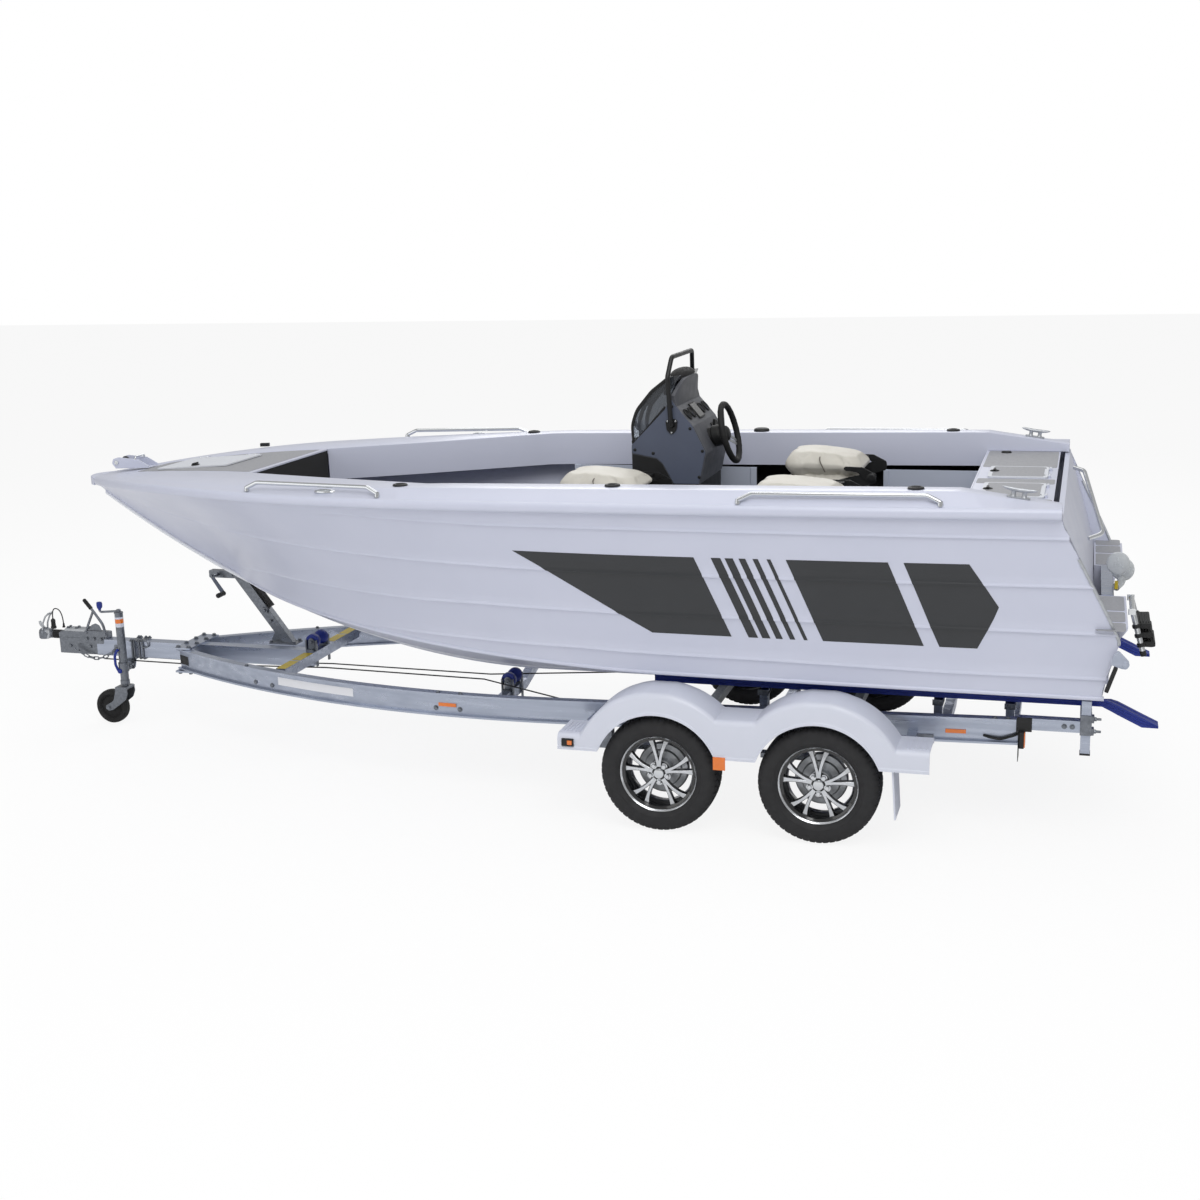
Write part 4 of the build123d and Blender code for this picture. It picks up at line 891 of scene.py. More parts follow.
TYRE_PART, RIM_PARTS = tyre(), rim()
for place, x in WHEEL_X.items():
    for name, hand in HANDS.items():
        centre = (x, WHEEL_FACE - TYRE_HALF, WHEEL_Z)
        wheel = f"{place}_{name}"
        piece(f"tread_tyre_{wheel}", [(hand(moved(TYRE_PART, centre)), TYRE)], f"wheel_{wheel}",
              [f"tyre_{wheel}"], sharp=30)
        piece(f"alloy_wheel_{wheel}", [(hand(moved(part, centre)), m) for part, m in RIM_PARTS],
              f"wheel_{wheel}", [f"rim_{wheel}"], sharp=30)

# %% [markdown]
# ## Mudguards
# Each mudguard is one shell of rotationally moulded polyethylene over both wheels,
# with flats on its crowns, a step at each end and a lip round each opening.

# %% Tandem mudguard
GUARD_INNER, GUARD_OUTER, GUARD_SKIN = 966.0, 1196.0, 8.0
GUARD_LOW, STEP_TOP, STEP_TOP_AFT, SADDLE_TOP = 405.0, 485.0, 510.0, 600.0
ARCH_R, OPENING_R = 425.0, 312.0


def guard():
    """Section at each x: up the outer face from the opening's arc, round the shoulder, across the
    crown and back inside it. The top is the highest of the arches, the saddle and the steps."""
    centres = tuple(WHEEL_X.values())
    marks = [c + np.linspace(-313, 313, 3) for c in centres]
    x = np.unique(np.concatenate([np.linspace(-910, 885, 260), *marks]))
    arch = np.maximum(*[WHEEL_Z + np.sqrt(np.maximum(0, ARCH_R ** 2 - (x - c) ** 2)) for c in centres])
    nearest = np.where(x > 0, *centres)
    facet = WHEEL_Z + ARCH_R + 26 - 0.36 * np.abs(x - nearest)
    top = np.minimum(np.minimum(arch, facet), WHEEL_Z + ARCH_R - 4)
    saddle = np.where(np.abs(x) < 125, SADDLE_TOP, 0)
    step = np.where(x > 500, STEP_TOP, np.where(x < -500, STEP_TOP_AFT, saddle))
    top = np.maximum(top, step)
    opening = WHEEL_Z + np.sqrt(np.maximum(0, OPENING_R ** 2 - (x - nearest) ** 2))
    low = np.maximum(GUARD_LOW, opening)
    bend = np.minimum(30, (top - low) * 0.4)[:, None]
    turn = np.radians([0, 22, 45, 68, 90])
    outer, inner, skin = GUARD_OUTER, GUARD_INNER, GUARD_SKIN
    lips = np.stack([np.stack([outer - inset + 0 * x, low + lift], -1)
                     for inset, lift in ((skin + 2, 0), (0, 0), (0, 12), (3, 17))], 1)
    shoulder = np.stack([outer - 3 - bend * (1 - np.cos(turn)), top[:, None] - bend * (1 - np.sin(turn))], -1)
    edge = np.stack([np.stack([inner + inset + 0 * x, top - drop], -1)
                     for inset, drop in ((0, 0), (0, 26), (5, 26), (5, skin))], 1)
    reach = (bend - skin * 0.3).clip(2)
    back = np.stack([outer - 3 - skin - reach * (1 - np.cos(turn[::-1])),
                     top[:, None] - skin - reach * (1 - np.sin(turn[::-1]))], -1)
    back[..., 1] = np.maximum(back[..., 1], low[:, None] + 1)
    section = np.concatenate([lips, shoulder, edge, back], 1)
    section[:, 3:9, 1] = np.maximum(section[:, 3:9, 1], low[:, None] + 12.5)
    points = np.concatenate([np.broadcast_to(x[:, None, None], (*section.shape[:2], 1)), section], -1)
    return solid(points)


def step_ribs():
    """Raised bars on the steps that keep a boot from slipping."""
    front = [(x, 1000, STEP_TOP - 1) for x in np.linspace(790, 866, 5)]
    rear = [(x, 1000, STEP_TOP_AFT - 1) for x in np.linspace(-892, -800, 6)]
    return copies(box(-5, 5, 0, 150, 0, 4, 2), front + rear)


GUARD = [(join(guard(), step_ribs()), FENDER_WHITE), (box(800, 862, 1193, 1203, 425, 462, 8), BLACK_PLASTIC),
         (box(808, 832, 1202, 1206, 433, 454, 4), AMBER_LENS)]
for name, hand in HANDS.items():
    piece(f"tandem_mudguard_{name}", [(hand(part), material) for part, material in GUARD],
          stands_for=[f"fender_{name}"], sharp=24)

# %% [markdown]
# ## Seats
# The seats are foam under stitched vinyl on a moulded pan, with the back folded
# flat. Each cushion is a rounded block pressed out by the cloth solver, once for
# its kind, and the three alike seats get copies. The solver makes it taller, and
# a little over 20 mm narrower on each side. The piping and the cross seam keep the
# block's outline, so they stand off the foam's sides.

# %% Rounded blocks for the cushions
SEATS = {"helm": (-190, -450), "port": (-190, 470), "bow": (850, 330)}
SEAT_Z, HINGE_BACK, HINGE_UP = 1440.0, 262.0, 112.0
VOXEL, PRESSURE, MOST_MOVE, CLOTH_FRAMES = 0.009, 4.0, 0.024, 20
SQUARENESS = 2 / 5.5


def signed_power(value, power):
    """A value's size to a power, its sign kept: a power below 1 squares off a circle."""
    return np.sign(value) * np.abs(value) ** power


def cushion_shape(half_x, half_y, low, high, crown, roundness=0.0):
    """A rounded block: the outline's superellipse grows from the faces to the middle height,
    and more roundness draws the upper and lower edges in."""
    angle = full_turn(72)
    rim_x, rim_y = signed_power(np.cos(angle), SQUARENESS), signed_power(np.sin(angle), SQUARENESS)
    level = np.array([-1, -1, -1, -0.92, -0.7, -0.3, 0, 0.3, 0.7, 0.92, 1, 1, 1])
    reach = np.array([0.02, 0.5, 0.86, 0.94, 0.985, 1, 1, 1, 0.985, 0.94, 0.86, 0.5, 0.02])
    reach = reach * (1 - roundness * np.abs(level) ** 2)
    swell = np.array([0, 0, 0, 0, 0, 0, 0, 0, 0, 0, 0, 0.75, 1]) * crown
    z = (low + high) / 2 + (high - low) / 2 * level + swell
    x = half_x * reach[:, None] * rim_x
    y = half_y * reach[:, None] * rim_y
    return solid(np.stack([x, y, np.broadcast_to(z[:, None], x.shape)], -1))


print(len(SEATS), "seats, squared off by a power of", round(SQUARENESS, 2))


# %% Blocks pressed out by the cloth solver
def inflated(name, shape):
    """Remeshes a shape evenly, lets the cloth solver press it out, caps each point's move, and
    returns the mesh's points in mm and its faces."""
    obj = piece(name, [(shape, VINYL)])
    bpy.context.view_layer.objects.active = obj
    remesh = obj.modifiers.new("even", "REMESH")
    remesh.mode, remesh.voxel_size, remesh.use_smooth_shade = "VOXEL", VOXEL, True
    bpy.ops.object.modifier_apply(modifier=remesh.name)
    mesh = obj.data
    count = len(mesh.vertices)
    before = np.empty(count * 3)
    mesh.vertices.foreach_get("co", before)
    before = before.reshape(-1, 3)
    after = before
    cloth = obj.modifiers.new("air", "CLOTH")
    cloth.settings.use_pressure, cloth.settings.uniform_pressure_force = True, PRESSURE
    cloth.settings.effector_weights.gravity = 0
    cloth.settings.quality = 5
    scene = bpy.context.scene
    for frame_number in range(1, CLOTH_FRAMES + 1):
        scene.frame_set(frame_number)
    grown = obj.evaluated_get(bpy.context.evaluated_depsgraph_get()).to_mesh()
    after = np.empty(count * 3)
    grown.vertices.foreach_get("co", after)
    after = after.reshape(-1, 3)
    step = after - before
    size = np.linalg.norm(step, axis=1, keepdims=True)
    after = before + step * np.minimum(1, MOST_MOVE / np.maximum(size, 1e-9))
    obj.modifiers.remove(cloth)
    scene.frame_set(1)
    faces = [list(p.vertices) for p in mesh.polygons]
    points = after * 1000 - [AXLE_X, 0, 0]
    bpy.data.objects.remove(obj)
    return points, np.array([f for f in faces if len(f) == 4]), [f for f in faces if len(f) != 4]


print("cloth frames to run:", CLOTH_FRAMES)

# %% Sewn channels, taper and the two foams
SEAM_DEPTH, SEAM_WIDE = 5.0, 9.0


def pressed(points, seams):
    """Sewn channels: points near a line x = seam sink by a bell of that depth, where they face up."""
    lift = np.zeros(len(points))
    middle = (points[:, 2].min() + points[:, 2].max()) / 2
    for seam in seams:
        lift += SEAM_DEPTH * np.exp(-((points[:, 0] - seam) / SEAM_WIDE) ** 2) * (points[:, 2] > middle)
    return points - lift[:, None] * [0, 0, 1]


def tapered(points):
    """The folded back thins towards its hinge: heights above its underside shrink by up to 34 %."""
    share = 1 - 0.34 * np.clip((60 - points[:, 0]) / 300, 0, 1) ** 1.3
    return np.column_stack([points[:, 0], points[:, 1], 14 + (points[:, 2] - 14) * share])


SEAT_LOW, SEAT_HIGH = 30.0, 98.0
base_foam = inflated("base_foam", cushion_shape(206, 210, SEAT_LOW + 6, SEAT_HIGH - 8, 4))
base_foam = (pressed(base_foam[0], (-95, 110)), *base_foam[1:])
back_foam = inflated("back_foam", cushion_shape(238, 210, 14, 104, 6, 0.12))
back_foam = (tapered(back_foam[0]), *back_foam[1:])
print("seat cushion", np.ptp(base_foam[0], 0).round(), "mm")

# %% Piping, pans and hinge arms
def piping(half_x, half_y, z, radius=4.2):
    """A thin cord within 2 mm of the outline of the block that the cushion starts from."""
    angle = full_turn(96)
    x, y = half_x * signed_power(np.cos(angle), SQUARENESS), half_y * signed_power(np.sin(angle), SQUARENESS)
    path = np.column_stack([x, y, np.full(len(angle), z)])
    return carried(ring_of(radius, 8), path, loop=True)


def cross_seam(x):
    """Piping over the back from side to side: a superellipse section that leans as it drops."""
    angle = np.linspace(-0.35, pi + 0.35, 60)
    y, z = 211 * signed_power(np.cos(angle), 0.34), 55 + 50 * signed_power(np.sin(angle), 0.62)
    return carried(ring_of(3.4, 8), np.column_stack([x - 0.5 * (105 - z), y, z]))


def seat_pan():
    """Moulded tub under the cushion, with a turned-up edge and the swivel plate below."""
    outline = [(-205, -205), (212, -205), (212, 205), (-205, 205)]
    tub = plate(outline, "z", 14, 40, 60)
    plate_part = plate([(-95, -95), (95, -95), (95, 95), (-95, 95)], "z", 1, 14, 12)
    spigot = turned([(15, -50), (15, 0), (40, 1), (40, 4)], ORIGIN, UP, 28)
    return tub, join(plate_part, spigot)


def hinge_ear():
    """Pressed strip from the pan back and up to the pin, with a round boss."""
    ear = plate([(-120, 36), (-286, 84), (-286, 136), (-238, 136), (60, 60), (60, 36)], "y", 228, 235, 14)
    pin = turned([(9, 0), (9, 14), (7, 16)], (-HINGE_BACK, 230, HINGE_UP), TO_PORT, 20)
    return join(ear, pin, box(-110, 40, 205, 229, 38, 56, 6))


def hinge_arm():
    """Arm of the back: from the pin along the folded back's side."""
    z = HINGE_UP
    arm = plate([(-282, z - 20), (-282, z + 20), (-212, z + 56), (-120, z + 58), (-112, z + 42),
                 (-186, z + 28), (-242, z - 20)], "y", 237, 244, 12)
    boss = turned([(24, 236.5), (24, 245), (20, 248), (9.6, 248)], (-HINGE_BACK, 0, z), TO_PORT, 30)
    return join(arm, boss, box(-186, -122, 200, 238, z + 34, z + 50, 6))


print("hinge pin", HINGE_BACK, "mm behind and", HINGE_UP, "mm above the seat's own origin")

# %% Three seats
BACK_HEIGHT = {"helm": 1.0, "port": 0.8, "bow": 0.86}


def back_part(part, name, x, y):
    """A part of a backrest over its seat, its height scaled for that seat."""
    squashed = (part[0] * [1, 1, BACK_HEIGHT[name]], *part[1:])
    return moved(squashed, (x - HINGE_BACK + 270, y, SEAT_Z + HINGE_UP - 8))


TUB, SWIVEL_PLATE = seat_pan()
EARS, ARMS = both_sides(hinge_ear()), both_sides(hinge_arm())
EDGES = join(piping(208, 212, 50), piping(204, 208, 88, 3.6))
for name, (x, y) in SEATS.items():
    at, cushion_at = (x, y, SEAT_Z), (x + 4, y, SEAT_Z)
    cushion = piece(f"seat_cushion_{name}", [(moved(base_foam, cushion_at), VINYL)],
                    f"swivel_{name}", sharp=80)
    piece(f"seat_frame_{name}", [
        (moved(TUB, at), BLACK_PLASTIC), (moved(SWIVEL_PLATE, at), ZINC), (moved(EARS, at), BLACK_STEEL),
        (moved(EDGES, cushion_at), PIPING)], f"swivel_{name}", [f"seat_{name}"])
    back = piece(f"seat_back_cushion_{name}", [(back_part(back_foam, name, x, y), VINYL)],
                 f"fold_{name}", sharp=80)
    piece(f"seat_back_frame_{name}", [
        (back_part(cross_seam(20), name, x, y), PIPING), (moved(ARMS, at), BLACK_STEEL)],
        f"fold_{name}", [f"seat_back_{name}"])

# %% [markdown]
# ## Helm console
# The console is a moulded pod on a black base. Its side has a recessed panel held
# by six screws, its aft face carries gauges and switches, and a tinted screen with
# a hood wraps its front. A bent black tube arches over it as a grab rail.

# %% Pod, base and side panels
CONSOLE_LOW, CONSOLE_MID, CONSOLE_HIGH = -750.0, -475, -200.0
FLOOR_Z = 918.0


def turned_to(part, origin, forward_axis, side_axis=TO_PORT):
    """Stands a part made about its own z axis on another axis: local x goes to side_axis."""
    w = np.asarray(forward_axis, float) / np.linalg.norm(forward_axis)
    u = np.asarray(side_axis, float) - w * np.dot(side_axis, w)
    u /= np.linalg.norm(u)
    return part[0] @ np.array([u, np.cross(w, u), w]) + np.asarray(origin, float), part[1], part[2]


def on_both_cheeks(outline, thick, bend, lift=0.0):
    """A plate on the console's port cheek and its twin on the starboard one."""
    y0, y1 = CONSOLE_LOW, CONSOLE_HIGH
    return join(plate(outline, "y", y1 - 1, y1 + thick + lift, bend),
                plate(outline, "y", y0 - thick - lift, y0 + 1, bend))


def on_cheeks(part, places, out):
    """Copies of a small part on the port cheek, and their twins on the starboard one."""
    return join(copies(part, [(x, CONSOLE_HIGH + out, z) for x, z in places]),
                copies(mirrored(part), [(x, CONSOLE_LOW - out, z) for x, z in places]))


def pod_front(z):
    """Station of the pod's upper front, which leans back 0.42 mm for each mm up."""
    return 675 - 0.42 * (z - 1905)


pod = plate([(864, 1500), (866, 1705), (675, 1905), (640, 1985), (620, 1983), (606, 1925), (515, 1819),
             (441, 1676), (481, 1500)], "y", CONSOLE_LOW, CONSOLE_HIGH, [6, 20, 30, 6, 8, 16, 30, 40, 6])
across = np.linspace(-1, 1, 33)[:, None]
top_z = 1985 + 92 * (1 - across ** 4)
panel_x = np.concatenate([pod_front(top_z) - 2, pod_front(top_z) - 20, 606 + 0 * top_z, 640 + 0 * top_z], 1)
panel_z = np.concatenate([top_z, top_z - 4, 1925 + 0 * top_z, 1925 + 0 * top_z], 1)
panel_y = CONSOLE_MID + 262 * across + 0 * panel_x
dash_top = solid(np.stack([panel_x, panel_y, panel_z], -1))
console_base = plate([(860, FLOOR_Z + 1), (862, 1499), (484, 1499), (500, FLOOR_Z + 1)], "y",
                     CONSOLE_LOW + 4, CONSOLE_HIGH - 4, 4)
cheek = on_both_cheeks([(864, 1712), (672, 1908), (636, 1964), (612, 1930), (520, 1822), (448, 1677),
                        (487, 1502), (627, 1502), (687, 1611), (721, 1641), (862, 1668)], 5,
                       [6, 20, 8, 10, 26, 24, 6, 10, 30, 30, 6])
toe = on_both_cheeks([(862, 1502), (861, 1662), (724, 1636), (692, 1607), (633, 1502)], 2, [4, 6, 30, 30, 4])
kick = on_both_cheeks([(820, 960), (820, 1450), (560, 1450), (548, 960)], -2, 30, -1)
screw = turned([(9, 0), (9, 2), (6, 4.5), (0.5, 5)], ORIGIN, TO_PORT, 16)
screw_at = [(846, 1686), (742, 1668), (632, 1926), (532, 1806), (464, 1684), (484, 1540)]
screws = on_cheeks(screw, screw_at, 5)
STEER = np.array([365.0, -450.0, 1755.0])
STEER_AXIS = np.array([cos(atan2(85, 340)), 0, -sin(atan2(85, 340))])
housing = turned([(52, 46), (58, 52), (60, 60), (60, 92), (54, 98), (54, 134), (60, 138), (60, 160)],
                 STEER, STEER_AXIS, 40)
tilt_lever = box(462, 476, -520, -506, 1770, 1822, 5)
piece("helm_console", [
    (join(pod, dash_top), DASH_GREY), (cheek, CONSOLE_GREY),
    (join(toe, screws, console_base, kick, housing, tilt_lever), BLACK_PLASTIC)],
    stands_for=["console"], bevel=2.5)

# %% Gauges and switches
def gauge(radius=42):
    """Bezel, dark face and a plain ring of ticks, standing on the local z axis."""
    bezel = turned([(radius, -4), (radius, 5), (radius - 3, 8), (radius - 6, 7), (radius - 8, 3)],
                   ORIGIN, UP, 36)
    face = turned([(radius - 7, 1), (radius - 7, 3), (0.5, 3)], ORIGIN, UP, 36)
    angle = np.radians(np.arange(-225, 46, 27))
    ticks = join(*[turned([(1.3, 3), (1.3, 3.6)], ((radius - 13) * cos(a), (radius - 13) * sin(a), 0),
                          UP, 8) for a in angle])
    needle = box(-1.2, 1.2, -2, radius - 16, 3.2, 4.4)
    return bezel, face, join(ticks, needle)


dash_low, dash_high = np.array([515.0, 0, 1819.0]), np.array([606.0, 0, 1925.0])
dash_way = (dash_high - dash_low) / np.linalg.norm(dash_high - dash_low)
dash_out = np.array([-dash_way[2], 0, dash_way[0]])
dash = dash_low + 0.52 * (dash_high - dash_low)
parts = []
for y in (-690, -590, -360, -265):
    for part, m in zip(gauge(36), (BLACK_PLASTIC, BLACK_PLASTIC, CONSOLE_GREY)):
        parts.append((turned_to(part, dash + [0, y, 0] + dash_out * 0.5, dash_out), m))
display = plate([(-62, -52), (62, -52), (62, 52), (-62, 52)], "z", -2, 7, 8)
glass = plate([(-54, -44), (54, -44), (54, 44), (-54, 44)], "z", 6.4, 7.6, 3)
display_at = dash + [0, CONSOLE_MID, 0]
parts += [(turned_to(display, display_at, dash_out), BLACK_PLASTIC),
          (turned_to(glass, display_at, dash_out), GLOSS_BLACK)]
low_out = np.array([-0.888, 0, 0.46])
for k in range(6):
    rocker = plate([(-9, -16), (9, -16), (9, 16), (-9, 16)], "z", -2, 6, 3)
    parts.append((turned_to(rocker, (494, -690 + 26 * k, 1779), low_out), BLACK_PLASTIC))
piece("dash_instruments", parts, bevel=0.8)

# %% Tinted screen, hood and frame
SCREEN_CURVE = [(868, 1712), (876, 1820), (847, 1905), (760, 2010), (664, 2084)]
curve_xz = softened(SCREEN_CURVE, 160, 8)
back_line = [(604, 2086), (677, 1909), (866, 1708)]
inner_curve = np.concatenate([curve_xz + [-4, -3], softened(back_line, 60, 6)])
glass = plate(inner_curve, "y", CONSOLE_LOW + 31, CONSOLE_HIGH - 31)


def rim_bar(points_xz, y):
    """Flat black bar that holds the pane's edge."""
    low, high = y - 7, y + 7
    inward = points_xz + [-13, -13]
    ring = [np.column_stack([p[:, 0], np.full(len(p), v), p[:, 1]]) for p, v in
            ((points_xz, low), (points_xz, high), (inward, high), (inward, low))]
    return solid(np.stack(ring, 1))


side_bars = [rim_bar(curve_xz, CONSOLE_LOW + 32), rim_bar(curve_xz, CONSOLE_HIGH - 32)]
cross = plate([(664, 2084), (684, 2070), (676, 2060), (650, 2076)], "y",
              CONSOLE_LOW + 30, CONSOLE_HIGH - 30, 3)
foot = plate([(869, 1706), (874, 1732), (862, 1734), (846, 1716)], "y",
             CONSOLE_LOW + 28, CONSOLE_HIGH - 28, 3)
sills = [plate([(676, 1912), (866, 1712), (858, 1726), (682, 1924)], "y", y - 5, y + 5, 2)
         for y in (CONSOLE_LOW + 30, CONSOLE_HIGH - 30)]
middle_bar = rim_bar(curve_xz + [1, 1], CONSOLE_MID)
arch_z = 1985 + 94 * (1 - across ** 4)
bulge = 1 - 0.72 * across ** 2
turn = full_turn(24)
hood = solid(np.stack([pod_front(arch_z) + 34 + 52 * bulge * np.cos(turn),
                       CONSOLE_MID + 240 * across + 0 * turn,
                       arch_z + 6 + 29 * bulge * np.sin(turn)], -1))
bars = join(*side_bars, cross, foot, *sills, middle_bar)
piece("tinted_screen", [(glass, SCREEN), (bars, BLACK_PLASTIC), (hood, RUBBER)],
      stands_for=["windscreen"], bevel=1.5)

# %% Arched grab rail with its foot plates
half_run = [(634, 293, 1822), (636, 295, 1850), (652, 289, 2085), (640, 235, 2190)]
arch = tube([(x, CONSOLE_MID + out, z) for x, out, z in half_run]
            + [(x, CONSOLE_MID - out, z) for x, out, z in half_run[::-1]], 13, 42, 16)
outline = [(634, 1862), (668, 1852), (662, 1800), (634, 1770), (606, 1800), (600, 1852)]
feet = join(plate(outline, "y", CONSOLE_HIGH + 5, CONSOLE_HIGH + 11, 16),
            plate(outline, "y", CONSOLE_LOW - 11, CONSOLE_LOW - 5, 16))
stub = turned([(19, 4), (19, 12), (14, 24), (14, 30)], (634, CONSOLE_HIGH, 1828), TO_PORT, 24)
stubs = join(stub, moved(mirrored(stub), (0, CONSOLE_LOW + CONSOLE_HIGH, 0)))
chrome = turned([(6, 0), (6, 2), (4, 4), (0.5, 4.4)], ORIGIN, TO_PORT, 14)
chromes = on_cheeks(chrome, [(612, 1846), (656, 1846), (634, 1784)], 11)
piece("console_grab_rail", [(join(arch, feet, stubs), BLACK_STEEL), (chromes, STAINLESS)],
      stands_for=["console_rail"])

# %% Steering wheel
def wheel_spoke(turn):
    """Pressed steel strip, dished from hub to rim, with a long slot between two straps."""
    s = np.linspace(0, 1, 9)
    r, dish = 28 + 122 * s, 30 - 26 * s ** 0.8
    half = 17 - 6 * s
    straps = []
    for side in (-1, 1):
        middle = side * half
        ring = np.stack([np.column_stack([r, middle + a, dish + b]) for a, b in
                         ((-8, 0), (8, 0), (8, 3), (-8, 3))], 1)
        straps.append(solid(ring))
    part = join(*straps)
    c, n = cos(turn), sin(turn)
    return part[0] @ np.array([[c, n, 0], [-n, c, 0], [0, 0, 1]]), part[1], part[2]


grip_angle = full_turn(120)
grip_path = np.column_stack([160 * np.cos(grip_angle), 160 * np.sin(grip_angle), np.zeros(120)])
grip_size = 17 + 0.9 * np.maximum(0, np.cos(grip_angle * 20)) ** 4
grip = carried(ring_of(1, 14)[None] * grip_size[:, None, None], grip_path, loop=True)
spokes = join(*[wheel_spoke(pi / 2 + 2 * pi * k / 3) for k in range(3)])
dome = turned([(44, 22), (40, 12), (30, 4), (18, 0), (0.5, -1)], ORIGIN, UP, 36)
shaft = turned([(22, 30), (22, 52), (10, 54), (10, 90)], ORIGIN, UP, 24)
wheel_parts = ((grip, RUBBER), (spokes, CAST), (dome, BLACK_PLASTIC), (shaft, BLACK_STEEL))
piece("helm_steering_wheel",
      [(turned_to(part, STEER, STEER_AXIS), material) for part, material in wheel_parts],
      "helm_wheel", ["steering_wheel"])

# %% [markdown]
# ## Finishes on the CAD parts that stay
# Plates, tubes and beams whose CAD shape is right keep it, and only get the finish
# of the real part: rolled rails, dipped fittings, painted decks, carpeted floor.

# %% Finish by part
def coat(material, *nodes):
    """Every material slot of these CAD parts takes the finish."""
    for node in nodes:
        for slot_at in NODES[node].material_slots:
            slot_at.material = material
    print(material.name, "on", *nodes)


coat(SHADE_TINTED_ENAMEL, "bow_cap", "transom", "aft_bulkhead", "stern_platform", "foredeck", "aft_deck")
coat(INNER_ENAMEL, "side_pockets")
coat(CARPET, "bow_bulkhead")
coat(FLOOR_CARPET, "cockpit_floor")
coat(PALE_GRIT, "anchor_hatch", "bait_lid", "locker_lid")
coat(STAINLESS, "stainless_rails")
coat(MILL_BLUE_REFLECTION, "trailer_rail_port", "trailer_rail_starboard", "drawbar", "crossmembers", "rear_frame")
coat(ZINC, "axles", "springs", "safety_chains", "jockey_leg")
coat(BLACK_STEEL, "seat_pedestals")

# %% [markdown]
# ## Inside the cockpit
# Carpet is glued to the inside of the side sheets behind the pocket panels, and
# folded posts stiffen the panels. Both stop just under the coaming.

# %% Lining and posts
def lining():
    """The side sheet's inner face moved in by 4 mm, from the floor to the coaming, 3 mm thick."""
    x = np.linspace(-985, 1425, 40)[:, None]
    z = np.linspace(FLOOR_Z + 6, 1500, 8)
    y = side_y(x, z + 0 * x)
    outer = np.stack([x + 0 * z, y - 1, z + 0 * x], -1)
    inner = outer - [0, 3, 0]
    return solid(np.concatenate([outer, inner[:, ::-1]], 1))


post_x = ((-985, -940), (-458, -430), (310, 345), (1388, 1430))
posts = [box(x0, x1, 917, 934, FLOOR_Z + 4, 1486, 3) for x0, x1 in post_x]
welt = tube([(-430, 929, 1486), (-430, 929, 1254), (310, 929, 1254), (310, 929, 1486)], 4.5, 12, 8)
beads = [box(x, x + 3, 932, 934, FLOOR_Z + 10, 1484) for x in (520, 870, 1130)]
piece("cockpit_lining", [(both_sides(lining()), CARPET)])
piece("pocket_posts", paired((join(*posts, *beads), INNER_ENAMEL), (welt, BLACK_PLASTIC)),
      bevel=1)

# %% [markdown]
# ## Decks
# Grit-painted panels leave a smooth painted border, as masking tape would. The
# lids turn on strap hinges and are held by flush black T-latches.

# %% Foredeck grit, latches
def deck_panel(x0, x1, inset):
    """Grit panel that follows the sloping foredeck, `inset` from its edges."""
    x = np.linspace(x0, x1, 26)
    half = coaming_y(x) - inset
    top = deck_z(x) - 2 + 1.2
    ring = np.stack([np.column_stack([x, side * half, top - drop]) for side, drop in
                     ((-1, 2.4), (1, 2.4), (1, 0), (-1, 0))], 1)
    return solid(ring)


def t_latch():
    """Flush ring with a turned-down T handle, standing on z = 0 at the origin."""
    ring = turned([(24, 0), (24, 3), (21, 5), (17, 4), (17, 1)], ORIGIN, UP, 28)
    stem = turned([(9, 1), (9, 8), (6, 11), (0.5, 11)], ORIGIN, UP, 20)
    handle = plate([(-6, -30), (6, -30), (6, 30), (-6, 30)], "z", 6, 13, 5)
    return join(ring, stem, handle)


piece("foredeck_grit", [(deck_panel(2888, 3760, 34), DECK_GRIT)], sharp=60)
hatch_slope = atan2(deck_z(3610) - deck_z(3150), 460)
LATCH = t_latch()


def on_hatch(part, x, y):
    """Stands a part on the sloping hatch: its up leans with the deck's fall."""
    return turned_to(part, (x, y, deck_z(x) + 10.2), (-sin(hatch_slope), 0, cos(hatch_slope)), AHEAD)


hatch_screws = bolts([(x, -188, 0) for x in (-190, -140, 130, 175)], UP, 8, 3, False)
piece("anchor_hatch_fittings", [
    (on_hatch(LATCH, 3380, 165), BLACK_PLASTIC), (on_hatch(hatch_screws, 3380, 0), STAINLESS)],
    "hatch", bevel=0.8)

# %% Aft deck grit, latches and filler
LID_TOP = 1609.0
for name, y0, y1 in (("bait", -310, 10), ("locker", 230, 610)):
    grit = plate([(-1340, y0 + 2), (-1085, y0 + 2), (-1085, y1 - 2), (-1340, y1 - 2)], "z", LID_TOP - 0.5,
                 LID_TOP + 1.2, 18)
    latch = moved(LATCH, (-1092, (y0 + y1) / 2, LID_TOP))
    hinge_screws = bolts([(-1344, y + s, LID_TOP) for y in (y0 + 40, y1 - 40) for s in (-10, 10)],
                         UP, 8, 3, False)
    piece(f"{name}_lid_fittings", [(grit, DECK_GRIT), (latch, BLACK_PLASTIC), (hinge_screws, STAINLESS)],
          name, bevel=0.8)
aft_pads = [plate([(-1398, y0), (-1020, y0), (-1020, y1), (-1398, y1)], "z", 1599.2, 1601.2, 20)
            for y0, y1 in ((-945, -345), (45, 195), (645, 945))]
filler = turned([(34, 0), (34, 4), (30, 7), (22, 7), (20, 5), (0.5, 5)], (-1115, 880, 1600), UP, 36)
filler_bar = box(-1133, -1097, 876, 884, 1604, 1609, 2)
vent = turned([(28, 0), (28, 5), (24, 10), (10, 12), (0.5, 12)], (-1115, -880, 1600), UP, 32)
front_trim = box(-1014, -1006, -956, 956, 1582, 1602, 3)
louvre = [box(-1009, -1005, -700, -480, 1180 + 22 * k, 1190 + 22 * k, 3) for k in range(8)]
battery_door = plate([(-320, 1040), (320, 1040), (320, 1480), (-320, 1480)], "x", -1010, -1004, 28)
door_latch = turned_to(LATCH, (-1004, 270, 1260), AHEAD)
